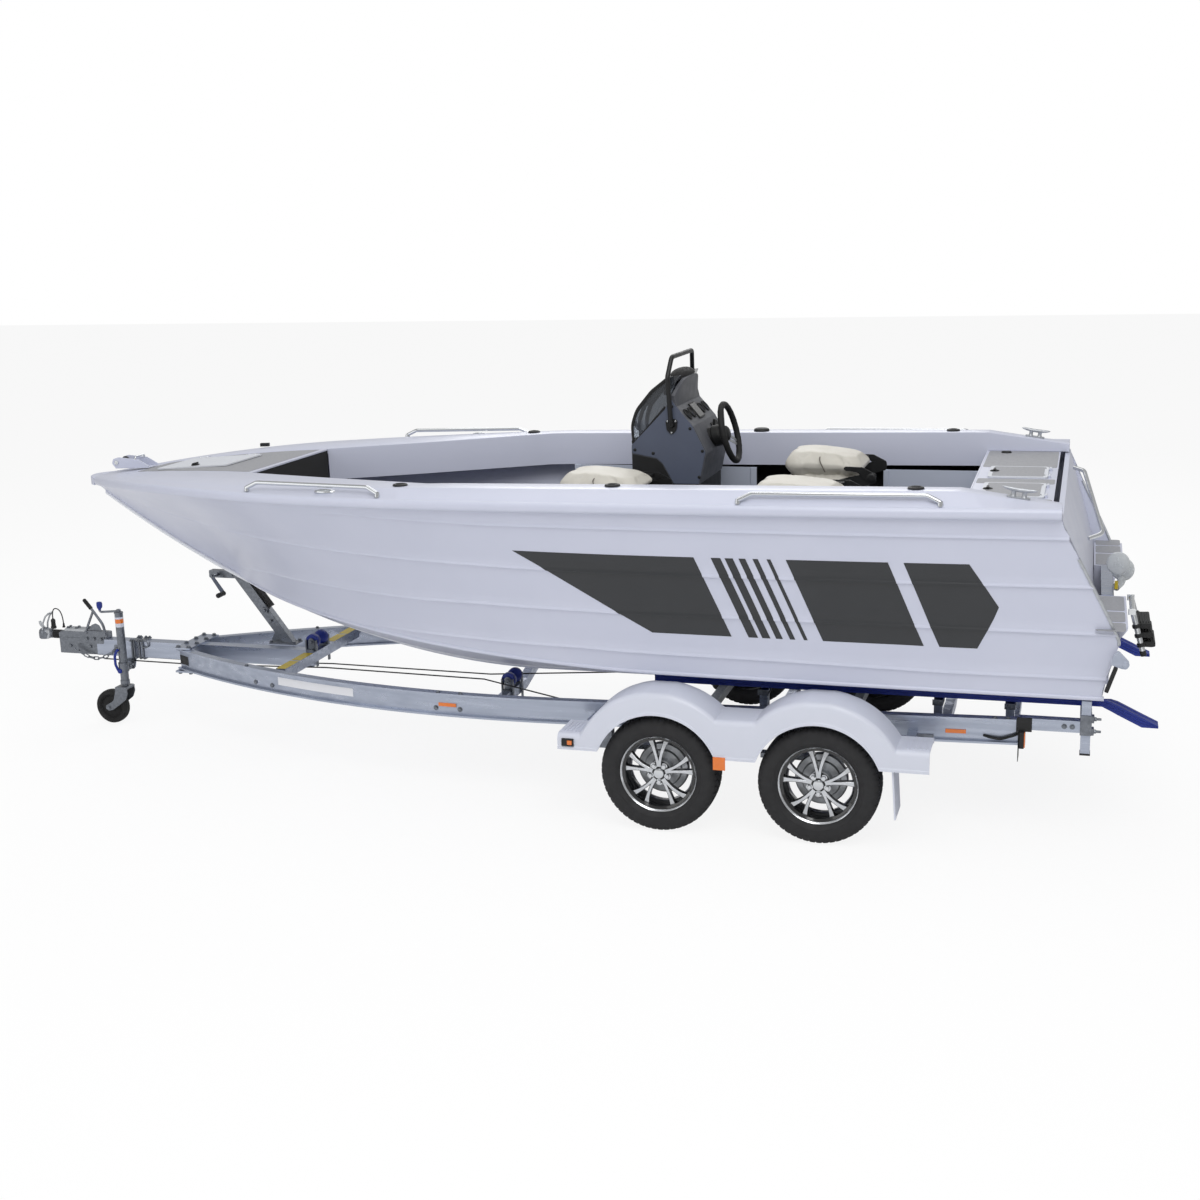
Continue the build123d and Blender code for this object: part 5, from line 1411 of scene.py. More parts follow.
piece("aft_deck_fittings", [
    (join(*aft_pads), DECK_GRIT), (join(filler, filler_bar), STAINLESS), (vent, BLACK_PLASTIC),
    (front_trim, SHADE_TINTED_ENAMEL), (join(*louvre), BLACK_PLASTIC), (battery_door, PALE_GRIT),
    (door_latch, BLACK_PLASTIC)],
    bevel=0.8)

# %% Rod holders with caps
def rod_holder():
    """Flush mount: a flange, a swaged collar and the rubber cap that keeps rain out."""
    flange = turned([(38, 0), (38, 3.5), (34, 7), (27, 9), (24, 8), (22, 4)], ORIGIN, UP, 40)
    cap = turned([(22, 3), (22, 6.5), (18, 10), (8, 12), (0.5, 12.2)], ORIGIN, UP, 36)
    barrel = turned([(23, -190), (23, 1), (20.5, 1), (20.5, -188)], ORIGIN, UP, 24)
    return flange, cap, barrel


flange, cap, barrel = rod_holder()
holder_at = [(x, hand * 1025, deck_z(x) + 2.4) for hand in (-1, 1) for x in (1720, 620, -810)]
piece("rod_holder_set", [(copies(flange, holder_at), BLACK_PLASTIC), (copies(cap, holder_at), RUBBER),
                         (copies(barrel, holder_at), BLACK_PLASTIC)],
      stands_for=["rod_holders"])

# %% Bow roller, cleats and gunwale fittings
BOW_X0, BOW_X1 = 3760.0, 3990.0
bow_base = deck_z(BOW_X0) + 2
roller_cheek = plate([(BOW_X0, bow_base), (BOW_X1 - 6, bow_base - 6), (BOW_X1 + 18, bow_base + 22),
                      (BOW_X1 + 8, bow_base + 50), (BOW_X1 - 30, bow_base + 60), (BOW_X0 + 70, bow_base + 50),
                      (BOW_X0 + 4, bow_base + 14)], "y", 48, 55, [4, 10, 16, 16, 30, 40, 8])
roller = turned([(9, -47), (25, -46), (26, -40), (19, -22), (15, 0), (19, 22), (26, 40), (25, 46), (9, 47)],
                (BOW_X1 - 15, 0, bow_base + 28), TO_PORT, 32)
pin = turned([(13, -60), (13, -55), (7, -54), (7, 54), (13, 55), (13, 60)], (BOW_X1 - 15, 0, bow_base + 28),
             TO_PORT, 20)
bed = plate([(BOW_X0, bow_base), (BOW_X1, bow_base - 8), (BOW_X1, bow_base - 2), (BOW_X0, bow_base + 5)],
            "y", -50, 50)
keeper = tube([(BOW_X0 + 90, -52, bow_base + 46), (BOW_X0 + 90, -46, bow_base + 66),
               (BOW_X0 + 90, 46, bow_base + 66), (BOW_X0 + 90, 52, bow_base + 46)], 5, 14)


def cleat(x, y, z, slope):
    """Cast cleat: a rounded foot, two necks and tapering horns."""
    foot = plate([(-52, -19), (52, -19), (52, 19), (-52, 19)], "z", 0, 8, 16)
    necks = copies(turned([(15, 6), (11, 14), (10, 26), (13, 34)], ORIGIN, UP, 20),
                   [(-24, 0, 0), (24, 0, 0)])
    s = np.linspace(-1, 1, 21)
    path = np.column_stack([78 * s, 0 * s, 38 + 7 * s ** 2])
    size = np.maximum(1.5, 9.5 * np.sqrt(np.clip(1 - s ** 6, 0, 1)) * (1 - 0.35 * s ** 2))
    horns = carried(ring_of(1, 14)[None] * size[:, None, None], path)
    part = join(foot, necks, horns)
    return turned_to(part, (x, y, z), (-sin(slope), 0, cos(slope)), AHEAD)


cleat_slope = atan2(deck_z(-1200) - deck_z(-1320), 120)
cleats = join(*[cleat(-1260, hand * 1028, deck_z(-1260) - 0.5, cleat_slope) for hand in (-1, 1)])
piece("bow_roller_fitting", [
    (join(both_sides(roller_cheek), bed), SHADE_TINTED_ENAMEL), (roller, BLACK_PLASTIC), (join(pin, keeper), STAINLESS)],
    stands_for=["deck_hardware"], bevel=1.2)
piece("mooring_cleats", [(cleats, CAST)])
rail_feet = [turned([(14, -18), (14, -6), (12.5, 0), (11.2, 6)],
                    (x, hand * (sheer_y(x) - 10), sheer_z(x) + 72), UP, 28)
             for hand in (-1, 1) for x in (1790, 2570, -930, -20)]
nav_shell = turned([(0.5, -46), (9, -40), (15, -24), (17, 0), (15, 24), (9, 40), (0.5, 46)],
                   ORIGIN, AHEAD, 24)
nav_shell = (nav_shell[0] * [1.3, 1.2, 0.9], *nav_shell[1:])
nav_lights = both_sides(moved(nav_shell, (2100, sheer_y(2100) - 38, sheer_z(2100) + 66)))
strap_eye = plate([(3400, -774), (3452, -758), (3450, -730), (3398, -744)], "z", deck_z(3424) - 6,
                  deck_z(3424) + 14, 6)
fuel_cap = turned([(46, 0), (46, 8), (42, 14), (34, 18), (12, 20), (0.5, 20)], (300, -1030, deck_z(300)),
                  UP, 36)
piece("rail_feet", [(join(*rail_feet, nav_lights), STAINLESS), (join(fuel_cap, strap_eye), BLACK_PLASTIC)])

# %% [markdown]
# ## Stern
# Behind the slanted bulkhead two buoyancy pods carry grit pads, and between them
# is the board that an outboard bolts to. A folding ladder hangs on the port pod.

# %% Pads, blade edges, eyes
def blade_edge():
    """Rounded extrusion that covers the cut edge of the side sheet along the raked blade."""
    corners = [(-1450, 1588), (-1530, 1417), (-1667, 1143), (-1720, 1027), (-1686, 908), (-1652, 780)]
    xz = softened(corners, [0, 30, 30, 40, 0, 0], 4)
    y = side_y(xz[:, 0], xz[:, 1]) + 2.5
    path = np.column_stack([xz[:, 0] + 2, y, xz[:, 1]])
    section = softened([(-7, -8), (7, -8), (7, 8), (-7, 8)], 5, 3, loop=True)
    return carried(section, path, up=TO_PORT)


pod_pads = [plate([(-1742, y0), (-1612, y0), (-1612, y1), (-1742, y1)], "z", 1086.5, 1089, 22)
            for y0, y1 in ((372, 660), (690, 880), (904, 1060))]
pod_faces = []
for y0, y1 in ((372, 640), (668, 930)):
    face = np.array([(-1658.5, y0, 806), (-1658.5, y1, 806), (-1711.0, y1, 1010), (-1711.0, y0, 1010)])
    pod_faces.append(solid(np.stack([face, face + [-1.5, 0, -0.35]])))
eye = plate([(-1690, 968), (-1712, 1000), (-1760, 950), (-1764, 930), (-1752, 912), (-1730, 914),
             (-1684, 930)], "y", 1046, 1052, [4, 10, 14, 14, 14, 20, 4])
eye_ring = tube([(-1744 + 13 * cos(a), 1049, 932 + 13 * sin(a)) for a in full_turn(23)], 4,
                loop=True)
pod_strut = carried(softened([(-9, -14), (9, -14), (9, 14), (-9, 14)], 5, 3, loop=True),
                    [(-1706, 1046, 916), (-1670, 1030, 800)], up=TO_PORT)
board_pad = plate([(-335, 880), (335, 880), (335, 1075), (-335, 1075)], "x", -1698, -1689, 16)
board_cap = box(-1695, -1638, -352, 352, 1083, 1091, 4)
drain = [turned([(22, 0), (22, 6), (16, 10), (0.5, 10)], (-1650, y, 560), ASTERN, 24) for y in (-120, 120)]
wrapped_pad = turned([(0.5, -16), (30, -15), (50, -9), (57, 0), (50, 9), (30, 15), (0.5, 16)],
                     ORIGIN, (0.3, 1, 0.2), 32)
wrapped = copies(wrapped_pad, [(-1712, 250, 1226), (-1738, 130, 1172)])
wrap_tail = tube([(-1738, 130, 1130), (-1728, 170, 1112), (-1706, 210, 1098)], 20, 30, 12)
tape_tag = box(-1716, -1700, 196, 226, 1092, 1128, 4)
piece("stern_fittings", [
    (join(wrapped, wrap_tail), WRAP), (tape_tag, TAPE),
    *paired((join(*pod_pads), DECK_GRIT), (blade_edge(), CAST), (join(*pod_faces), DECK_GRIT),
            (join(eye, eye_ring), MILL_BLUE_REFLECTION), (pod_strut, BLACK_PLASTIC)),
    (board_pad, BLACK_PLASTIC), (board_cap, MILL_BLUE_REFLECTION), (join(*drain), BLACK_PLASTIC)],
    bevel=0.8)

# %% Folding ladder
def ladder():
    """Two stiles with a sleeve at each tread, and treads with ribbed tops between them."""
    top, foot = np.array([-1775.0, 0, 1100]), np.array([-1834.0, 0, 888])
    drop = 212
    stiles, treads, ends = [], [], []
    for y in (440, 700):
        stiles.append(tube([top + [0, y, 0], foot + [0, y, 0]], 13, count=16))
        ends.append(turned([(13.5, -2), (14.5, 4), (14.5, 22), (13.5, 24)], foot + [0, y, 0],
                           top - foot, 18))
    pivot = tube([(-1775, 425, 1100), (-1775, 715, 1100)], 12.5, count=18)
    for k in range(3):
        z = 926 + 44 * k
        x = -1790 - 0.28 * (1100 - z)
        treads.append(plate([(x - 45, z + 4), (x - 30, z), (x + 12, z), (x + 25, z + 8), (x + 25, z + 22),
                             (x - 45, z + 26)], "y", 452, 688, [6, 6, 6, 6, 6, 8]))
        treads += [box(x - 38 + 12 * r, x - 33 + 12 * r, 470, 670, z + 22, z + 29, 1.5) for r in range(5)]
        sleeve_at = top + (foot - top) * ((1100 - z - 13) / drop)
        ends += [turned([(17, -9), (19, -5), (19, 5), (17, 9)], sleeve_at + [0, y, 0], top - foot, 18)
                 for y in (440, 700)]
    return stiles, treads, ends, pivot


stiles, treads, ends, pivot = ladder()
piece("folding_ladder", [(join(*stiles, pivot), STAINLESS), (join(*treads, *ends), BLACK_PLASTIC)],
      "ladder", ["boarding_ladder"], bevel=0.8)
lugs = [box(-1790, -1756, y - 4, y + 4, 1084, 1112, 6) for y in (421, 719)]
piece("ladder_lugs", [(join(*lugs), STAINLESS)], bevel=0.8)

# %% [markdown]
# ## Trailer frame
# The frame is bolted, not welded: flanged brackets, U-bolts with washers and long
# threads, saddles on the skids. Cables run under the drawbar to the brakes.

# %% Side rails' curve, labels, reflectors
RAIL_R, RAIL_BEND_X = 5100.0, 1000.0


def rail_y(x):
    """Middle of the rail in plan: straight aft, then y = 840 - R + sqrt(R^2 - s^2), s mm past the bend."""
    past = np.maximum(0, np.asarray(x, float) - RAIL_BEND_X)
    return 840 - RAIL_R + np.sqrt(RAIL_R ** 2 - past ** 2)


def on_rail(x0, x1, low, high, inner, outer, count=14):
    """A closed strip that follows the rail: heights from its middle line, depths from its middle plane."""
    x = np.linspace(x0, x1, count)
    rows = [np.column_stack([x, rail_y(x) + y, rail_z(x) + z]) for y, z in
            ((inner, low), (outer, low), (outer, high), (inner, high))]
    return solid(np.stack(rows, 1))


labels = on_rail(2212, 2750, -16, 30, 3, 4.6)
nose_plate = on_rail(3540, 3622, -34, 20, 3, 5.5, 4)
reflector = [on_rail(1567, 1670, -13, 6, 3, 9), on_rail(-1047, -951, -22, -3, 3, 9)]
web_bolts = [(x, rail_y(x) + 3.5, rail_z(x) + z) for x, z in
             ((2928, -26), (2797, -26), (1687, -25), (1545, -24), (60, 30), (-20, 30))]
flange_bolts = [(x, rail_y(x) + 12, rail_z(x) + 62.5) for x in (2990, 1667, 1535, -1240, -1180)]
guard_plate = [on_rail(x - 36, x + 36, -50, -34, 3, 12, 3) for x in (-860, 800)]
edge_seal = on_rail(-1286, -1278, -1, 62, 5, 32, 2)
piece("rail_fittings", paired(
    (labels, SLASH_FILM), (nose_plate, BLACK_PLASTIC), (join(*reflector), AMBER_LENS),
    (bolts(web_bolts, TO_PORT, 17, 9), ZINC), (bolts(flange_bolts, UP, 15, 9), ZINC),
    (join(*guard_plate), ZINC), (edge_seal, BLACK_PLASTIC)), bevel=0.6)
middle_tab = box(45, 105, 1196.5, 1199, 355, 420, 4)
flap = plate([(-752, 165), (-738, 408), (-746, 408), (-760, 165)], "y", 985, 1180)
flap_bolts = bolts([(-744, y, 392) for y in (1010, 1080, 1150)], ASTERN, 12, 6)
piece("mudguard_trim", paired((middle_tab, AMBER_LENS), (flap, FENDER_WHITE), (flap_bolts, ZINC)),
      bevel=0.8)

# %% Skids with grooved faces and their saddles
SKID_Y = 650.0
skid_section = np.array([(-40, -19), (-14, -19), (-12, -14), (-4, -14), (-2, -19), (2, -19), (4, -14),
                         (12, -14), (14, -19), (40, -19), (40, -10), (37, -8), (37, -4), (40, -2), (40, 2),
                         (37, 4), (37, 8), (40, 10), (40, 19), (22, 19), (20, 15), (-20, 15), (-22, 19),
                         (-40, 19), (-40, 10), (-37, 8), (-37, 4), (-40, 2), (-40, -2), (-37, -4),
                         (-37, -8), (-40, -10)])
tail_section = skid_section * [1, 1.22]
lean = np.tan(21 / 80.0)


def skid_row(section, x, z, lean):
    """The section's points at a station, its top leaning outward with the hull's rise."""
    return np.column_stack([np.full(len(section), x), SKID_Y + section[:, 0],
                            z + section[:, 1] + section[:, 0] * lean])


skid = solid(np.stack([
    skid_row(skid_section, 520, 634.5, lean), skid_row(skid_section, -1660, 634, lean),
    skid_row(tail_section, -1700, 625, 0.1), skid_row(tail_section, -1732, 612, 0),
    skid_row(tail_section, -1842, 558, 0), skid_row(tail_section * [1, 0.25], -1916, 540, 0)]))
piece("keel_skids", [(both_sides(skid), BLUE_PLASTIC)], stands_for=["skids"], bevel=1.5)
saddles, saddle_bolts = [], []
for x in (-40, -900, -1240, -1590):
    saddles += [box(x - 26, x + 26, SKID_Y + y, SKID_Y + y + 4, 588, 616, 3) for y in (-47, 43)]
    saddles.append(box(x - 26, x + 26, SKID_Y - 46, SKID_Y + 46, 587, 592))
    saddle_bolts.append((x, SKID_Y + 47, 602))
saddle_heads = bolts(saddle_bolts, TO_PORT, 15, 8)
piece("skid_saddles", paired((join(*saddles), ZINC), (saddle_heads, ZINC)),
      bevel=0.8)

# %% Rear posts: threaded rods, caps and lamps
threads = []
for z in (552, 612):
    threads += [turned([(6, -4), (6, 44), (5, 46)], (-1612, 850, z), ASTERN, 12),
                bolts([(-1625, 850, z)], ASTERN, 17, 12), box(-1626, -1612, 826, 866, z - 16, z + 16, 4)]
post_cap = box(-1614, -1566, 810, 870, 438, 447, 3)
clamp = box(-1616, -1564, 806, 874, 536, 632, 3)
arm_sleeve = box(-1349, -1279, 866, 876, 538, 605, 4)
arm_bolts = bolts([(-1494, 868, 574), (-1530, 868, 574)], TO_PORT, 15, 8)
piece("rear_post_fittings", paired(
    (join(*threads), ZINC), (post_cap, BLACK_PLASTIC), (clamp, ZINC), (arm_sleeve, BLACK_PLASTIC),
    (arm_bolts, ZINC)), bevel=0.6)
lamp_case = box(-1316, -1291, 818, 897, 460, 540, 6)
red_lens = box(-1320.5, -1315, 822, 862, 464, 536, 4)
amber_part = box(-1320.5, -1315, 864, 893, 464, 536, 4)
blade = box(-1291, -1288, 808, 902, 398, 541, 5)
piece("tail_lamp_units", paired(
    (lamp_case, BLACK_PLASTIC), (red_lens, RED_LENS), (amber_part, AMBER_LENS), (blade, BLACK_STEEL)),
    stands_for=["tail_lamps"], bevel=0.6)
lead_stub = tube([(-1288, 856, 520), (-1262, 858, 508), (-1205, 858, 488), (-1160, 856, 494),
                  (-1128, 846, 500)], 6, 60, 10)
piece("lamp_wiring", paired((lead_stub, RUBBER)))

# %% Brake cables, tape and crossmember bolts
cables = [tube([(4200, y, 380), (3600, y, 376), (2700, y, 404), (1700, y * 1.2, 392)], 4, 200, 8)
          for y in (-44, 44)]
fork = [tube([(1700, s * 53, 392), (900, s * 380, 360), (400, s * 640, 330)], 4, 200, 8) for s in (-1, 1)]
tape = both_sides(join(box(2726, 2784, 140, 300, 514.6, 516), box(2726, 2784, 322, 482, 514.6, 516)))
clamp_xy = [(x, y) for x in (3540, 3610) for y in (-150, -55, 55, 150)]
clamp_bolts = join(bolts([(x, y, 511) for x, y in clamp_xy], UP, 19, 12),
                   bolts([(x, y, 358) for x, y in clamp_xy], DOWN, 19, 12))
cross_bolts = bolts([(x, hand * 745, rail_z(x) + 7.5) for x in (1550, -40, -900, -1240)
                     for hand in (-1, 1)], UP, 15, 8)
piece("frame_bolts_and_cables", [
    (join(*cables, *fork), BLACK_STEEL), (tape, TAPE), (join(clamp_bolts, cross_bolts), ZINC)])

# %% Keel rollers on their brackets
def keel_roller(x, z, bed):
    """Bobbin roller with wide ends on a spindle between two bent flats."""
    bobbin = turned([(12, -70), (40, -69), (42, -60), (42, -40), (34, -26), (22, -12), (20, 0), (22, 12),
                     (34, 26), (42, 40), (42, 60), (40, 69), (12, 70)], (x, 0, z), TO_PORT, 36)
    spindle = turned([(9, -92), (9, 92)], (x, 0, z), TO_PORT, 16)
    flats = both_sides(plate([(x - 22, bed), (x + 22, bed), (x + 20, z + 8), (x + 8, z + 20), (x - 8, z + 20),
                              (x - 20, z + 8)], "y", 73, 79, 5))
    nuts = join(bolts([(x, 79, z)], TO_PORT, 19, 12), bolts([(x, -79, z)], TO_STARBOARD, 19, 12))
    legs = both_sides(tube([(x - 10, 90, bed - 55), (x - 10, 90, bed + 10)], 5, count=10))
    foot = both_sides(box(x - 24, x + 24, 60, 100, bed - 1, bed + 5, 3))
    drops = join(*[box(x + dx, x + dx + 9, y, y + 22, bed - 96, z + 10, 3) for dx in (-36, 27)
                   for y in (-88, 66)])
    return bobbin, join(spindle, flats, nuts, legs, foot, drops)


parts = []
for x, z, bed in ((2765, 566, 516), (1550, 398, rail_z(1550) - 131.5)):
    bobbin, metal = keel_roller(x, z, bed)
    parts += [(bobbin, BLUE_PLASTIC), (metal, ZINC)]
piece("keel_roller_sets", parts, stands_for=["keel_rollers"], bevel=0.8)

# %% Winch post, gear hub and crank
post = plate([(3035, 501), (2960, 501), (3250, 890), (3325, 890)], "y", -130, -80)
post_top = plate([(3250, 891), (3500, 891), (3500, 935), (3280, 935)], "y", -128, -82, 6)
gusset = plate([(3040, 505), (3140, 505), (3110, 560), (3076, 560)], "y", -136, -130, 8)
post_foot = box(2940, 3120, -150, -60, 501, 509, 4)
post_bolts = join(bolts([(x, y, 509) for x in (2955, 3105) for y in (-142, -68)], UP, 17, 12),
                  bolts([(3062, -136, 530), (3088, -136, 545)], TO_STARBOARD, 15, 8))
post_pad = plate([(3112, 720), (3236, 886), (3222, 892), (3098, 728)], "y", -128, -82, 3)
side_clamp = join(box(3118, 3150, -80, -66, 690, 722, 4),
                  bolts([(3134, -66, 706), (3104, -80, 640)], TO_PORT, 17, 14))
bracket_bolts = bolts([(3300, -80, 912), (3345, -80, 912)], TO_PORT, 17, 10)
gear_hub = turned([(10, -80), (10, -30), (8, -28)], (3440, 0, 912), TO_PORT, 20)
crank = plate([(3448, 926), (3462, 914), (3388, 800), (3360, 806)], "y", -30, -22, 7)
crank_nut = bolts([(3446, -22, 914)], TO_PORT, 17, 10)
grip = turned([(12, -22), (14.5, -18), (13, 0), (14.5, 30), (14.5, 52), (10, 58), (0.5, 59)], (3372, 0, 812),
              TO_PORT, 22)
piece("winch_and_post", [
    (join(post, post_top, gusset, post_foot, post_bolts), ZINC), (post_pad, RUBBER),
    (join(side_clamp, bracket_bolts, gear_hub), ZINC), (crank, CONSOLE_GREY), (crank_nut, ZINC),
    (grip, BLACK_PLASTIC)], stands_for=["winch_post"], bevel=1.2)

# %% [markdown]
# ## Coupling and handbrake
# An override coupling slides on its shaft to work the brakes. It is a folded
# housing bolted on the drawbar, a cast ball cup with a lift handle, and a bent
# handbrake lever with a rubber grip.

# %% Housing, shaft, cup
COUPLING_TOP, SHAFT_START = 556.0, (4512, 0, 510)
print("coupling top at", COUPLING_TOP, "mm, shaft from", SHAFT_START)
lower_tube = box(4251, 4519, -33, 33, 400, 500, 5)
tube_end = box(4517, 4521, -28, 28, 404, 486, 4)
housing_low = plate([(4182, 501), (4518, 501), (4518, 530), (4490, 540), (4182, 540)], "y", -34, 34,
                    [3, 3, 6, 8, 6])
housing_top = plate([(4290, 539), (4480, 539), (4474, COUPLING_TOP), (4300, COUPLING_TOP)], "y", -31, 31, 6)
flange_plate = plate([(4200, 470), (4330, 470), (4340, 530), (4190, 530)], "y", 33, 38, 10)
shaft_tube = turned([(24, -14), (27, -10), (27, 4), (22, 6), (22, 70), (27, 72), (27, 92), (30, 98)],
                    SHAFT_START, AHEAD, 30)
gaiter = turned([(24 + 4 * (k % 2), 6 + 6 * k) for k in range(10)], SHAFT_START, AHEAD, 30)
cup = turned([(25.5, -30), (34, -30), (38, -26), (39, -10), (38.5, 8), (35, 22), (27, 31), (14, 35),
              (0.5, 36), (0.5, 6), (12, 5), (20, 0), (25, -8), (25.5, -18)], (4640, 0, 510), UP, 44)
cup_neck = plate([(4596, 486), (4640, 482), (4660, 500), (4650, 536), (4610, 538), (4590, 530)], "y", -27, 27,
                 [6, 10, 12, 12, 10, 8])
lift_handle = both_sides(tube([(4640, 26, 530), (4634, 25, 576), (4612, 24, 622), (4590, 22, 640)],
                              5.5, 40, 10))
handle_bar = tube([(4590, -22, 640), (4590, 22, 640)], 7, count=14)
trigger = plate([(4650, 540), (4672, 562), (4678, 586), (4668, 588), (4656, 566), (4636, 548)], "y", -7, 7,
                [6, 12, 4, 4, 12, 6])

# %% Bolts, handbrake lever and ratchet
top_bolts = bolts([(x, y, COUPLING_TOP) for x in (4320, 4400, 4460) for y in (-14, 14)], UP, 15, 10)
side_bolts = bolts([(x, 38, 500) for x in (4215, 4265, 4315)] + [(x, 33, 450) for x in (4300, 4440)], TO_PORT,
                   17, 10)
grease = turned([(4, 0), (4, 5), (2.5, 7), (2.5, 10)], (4440, 0, COUPLING_TOP), UP, 12)
bracket = box(4157, 4318, 31, 57, 521, 555, 5)
lever_low = tube([(4172, 50, 541), (4186, 50, 600), (4238, 50, 672), (4262, 50, 702)], 8.5, 90, 14)
lever_grip = turned([(9, -4), (12.5, 0), (11.5, 10), (12.5, 22), (11.5, 34), (12.5, 46), (11.5, 58), (12, 66),
                     (7, 72), (0.5, 73)], (4258, 50, 697), (0.64, 0, 0.77), 22)
brace = tube([(4304, 50, 556), (4290, 50, 590), (4246, 50, 678)], 7.5, 60, 14)
lever_pin = bolts([(4172, 57, 541), (4304, 57, 545)], TO_PORT, 17, 8)
ratchet = plate([(4200, 556), (4290, 556), (4270, 590), (4240, 602), (4214, 590)], "y", 42, 47,
                [3, 3, 16, 16, 16])
piece("override_coupling", [
    (lower_tube, ZINC), (tube_end, BLACK_PLASTIC), (housing_low, ZINC), (housing_top, CAST),
    (join(flange_plate, shaft_tube), ZINC), (gaiter, RUBBER), (cup, ZINC),
    (join(cup_neck, lift_handle, handle_bar, trigger), CAST), (join(top_bolts, side_bolts), ZINC),
    (grease, MACHINED), (join(bracket, lever_low), ZINC), (lever_grip, RUBBER),
    (join(brace, lever_pin, ratchet), ZINC)],
    stands_for=["coupling"], bevel=1.0)

# %% U-bolts and shackles on the drawbar
def u_bolt(x):
    """Round bar round the drawbar, its threads through a plate on top, with nuts."""
    half, low, high = 42, 390, 516
    bar = tube([(x, -half, high), (x, -half, low), (x, half, low), (x, half, high)], 5.5, 14, 12)
    return join(bar, bolts([(x, -half, 503), (x, half, 503)], UP, 17, 9))


clamp_top = [box(x0, x1, -54, 54, 500, 504, 3) for x0, x1 in ((3915, 3960), (3975, 4010))]
u_bolts = join(*[u_bolt(x) for x in (3925, 3950, 3985, 4000)])
side_ring = tube([(3905 + 22 * cos(a), 47, 486 + 22 * sin(a)) for a in full_turn(23)], 4,
                 loop=True)
chain_lugs = both_sides(plate([(4080, 420), (4130, 420), (4124, 470), (4086, 470)], "y", 37.5, 43, 6))
shackles = both_sides(join(tube([(4100, 48, 452), (4112, 60, 440), (4124, 62, 436)], 5, 6, 10),
                           bolts([(4100, 43, 455)], TO_PORT, 17, 10)))
piece("drawbar_clamps", [(join(*clamp_top, u_bolts, side_ring, chain_lugs, shackles), ZINC)],
      bevel=0.8)

# %% [markdown]
# ## Jockey stand
# The stand is tube in tube with a screw inside. Its clamp swings on the drawbar,
# a blue handle locks it, and the wheel trails in a pressed fork so that it casters.

# %% Outer tube, crank and clamp
JX, JY, PIVOT_Z = 4020.0, 118.0, 358.0


def about_stand(profile, count=36):
    """A profile of (radius, height) pairs turned about the stand's own middle line."""
    return turned(profile, (JX, JY, 0), UP, count)


outer_tube = about_stand([(19.2, 250), (25, 250), (25, 690), (27, 694), (27, 700), (20, 704), (0.5, 704)])
collar = about_stand([(25.5, 250), (28, 252), (28, 276), (25.5, 278)])
label, label_band = about_stand([(25.4, 610), (25.4, 672)]), about_stand([(25.7, 634), (25.7, 660)])
crank_arm = tube([(JX + out, JY, z) for out, z in ((0, 700), (6, 706), (118, 696), (130, 700), (130, 712))],
                 7, [0, 8, 12, 10, 0], 12)
crank_hub = about_stand([(13, 700), (15, 704), (15, 714), (11, 718), (0.5, 718)], 24)
angle = full_turn(30)
knob_rows = np.array([(9, 708), (9, 714), (15, 722), (17, 732), (17, 748), (14, 757), (0.5, 760)])
lobes = 1 + 0.09 * np.cos(angle * 5)
knob_r = knob_rows[:, :1] * np.where(knob_rows[:, 1:] > 718, lobes, 1)
knob = solid(np.stack([JX + 130 + knob_r * np.cos(angle), JY + knob_r * np.sin(angle),
                       knob_rows[:, 1:] + 0 * knob_r], -1))
ring_clamp = about_stand([(26, 328), (31, 330), (31, 386), (26, 388)])
plate_corners = [(JX + 34 * a, PIVOT_Z + 30 * b) for a, b in ((-1, -1), (1, -1), (1, 1), (-1, 1))]
swing_plate = plate(plate_corners, "y", 49, 54, 14)
swing_block = box(JX - 24, JX + 24, 50, 98, PIVOT_Z - 24, PIVOT_Z + 24, 4)
pivot_bolt = bolts([(JX - 24, 60, PIVOT_Z), (JX - 24, 84, PIVOT_Z)], ASTERN, 15, 8)
blue_handle = tube([(JX + 8, JY + 30, 335), (JX + 20, JY + 33, 345), (JX + 32, JY + 36, 380),
                    (JX + 32, JY + 36, 430), (JX + 20, JY + 34, 462), (JX + 6, JY + 33, 472)], 8, 30, 12)
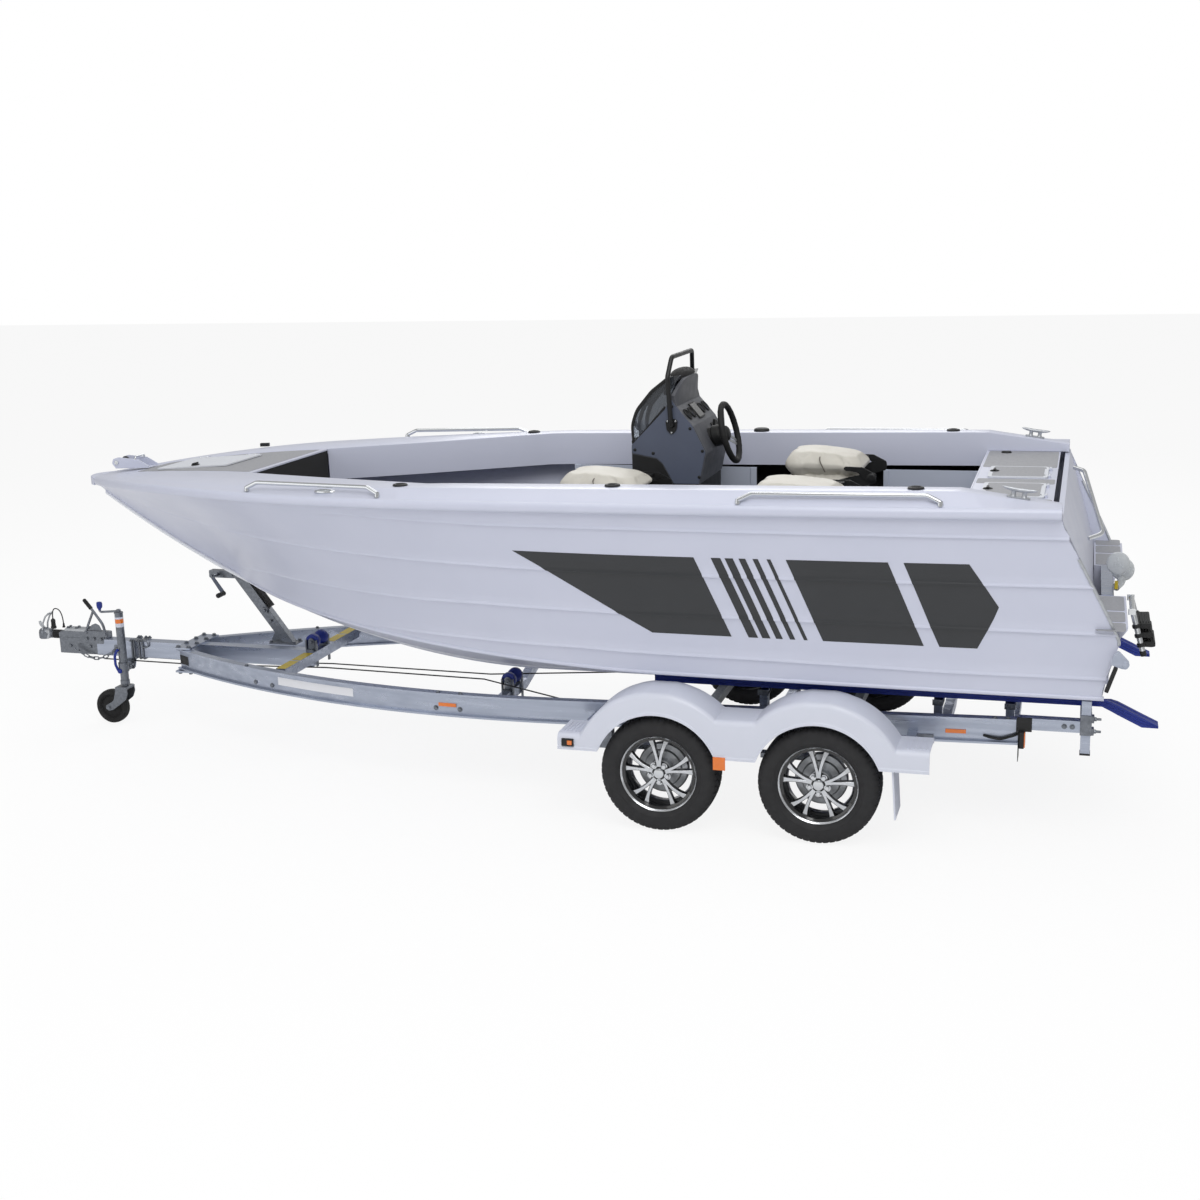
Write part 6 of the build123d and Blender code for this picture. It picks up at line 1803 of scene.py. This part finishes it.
handle_root = turned([(14, 26), (14, 38), (9, 42)], (JX + 8, JY, 338), TO_PORT, 20)
piece("jockey_outer_tube", [
    (join(outer_tube, collar), ZINC), (label, FENDER_WHITE), (label_band, AMBER_LENS),
    (join(crank_arm, crank_hub), ZINC), (knob, BLUE_PLASTIC),
    (join(ring_clamp, swing_plate, swing_block, pivot_bolt), ZINC),
    (join(blue_handle, handle_root), BLUE_PLASTIC)],
    "jockey_stand", ["jockey_tube"], sharp=30)

# %% Inner leg, pressed fork and wheel
TRAIL, JOCKEY_R = 100.0, 105.0
inner_leg = about_stand([(19, 236), (19, 600)], 30)
cheek_line = ((-32, 236), (-36, 200), (-20, 160), (30, 122), (76, 92), (104, 84), (124, 96), (124, 116),
              (100, 130), (66, 150), (52, 200), (46, 236))
fork_cheek = plate([(JX + out, z) for out, z in cheek_line], "y", 39, 44,
                   [6, 24, 30, 40, 30, 12, 10, 10, 30, 30, 20, 6])
cheek_pair = join(moved(fork_cheek, (0, JY, 0)), moved(mirrored(fork_cheek), (0, JY, 0)))
fork_crown = plate([(JX - 34, 222), (JX - 34, 240), (JX + 48, 240), (JX + 48, 222)], "y", JY - 45, JY + 45, 8)
axle_bolt = join(bolts([(JX + TRAIL, JY + 44, JOCKEY_R)], TO_PORT, 17, 9),
                 bolts([(JX + TRAIL, JY - 44, JOCKEY_R)], TO_STARBOARD, 17, 9),
                 turned([(8.5, -45), (8.5, 45)], (JX + TRAIL, JY, JOCKEY_R), TO_PORT, 18))
piece("jockey_fork", [(join(inner_leg, cheek_pair, fork_crown, axle_bolt), ZINC)],
      "jockey_caster", ["jockey_leg"], bevel=1.2)
disc = turned([(9.2, -33), (20, -33), (22, -28), (26, -14), (66, -12), (74, -24), (80, -29), (96, -28),
               (103, -20), (105, -8), (105, 8), (103, 20), (96, 28), (80, 29), (74, 24), (66, 12), (26, 14),
               (22, 28), (20, 33), (9.2, 33)], (JX + TRAIL, JY, JOCKEY_R), TO_PORT, 56)
piece("jockey_tyre", [(disc, RUBBER)], "jockey_roller", ["jockey_wheel"], sharp=30)
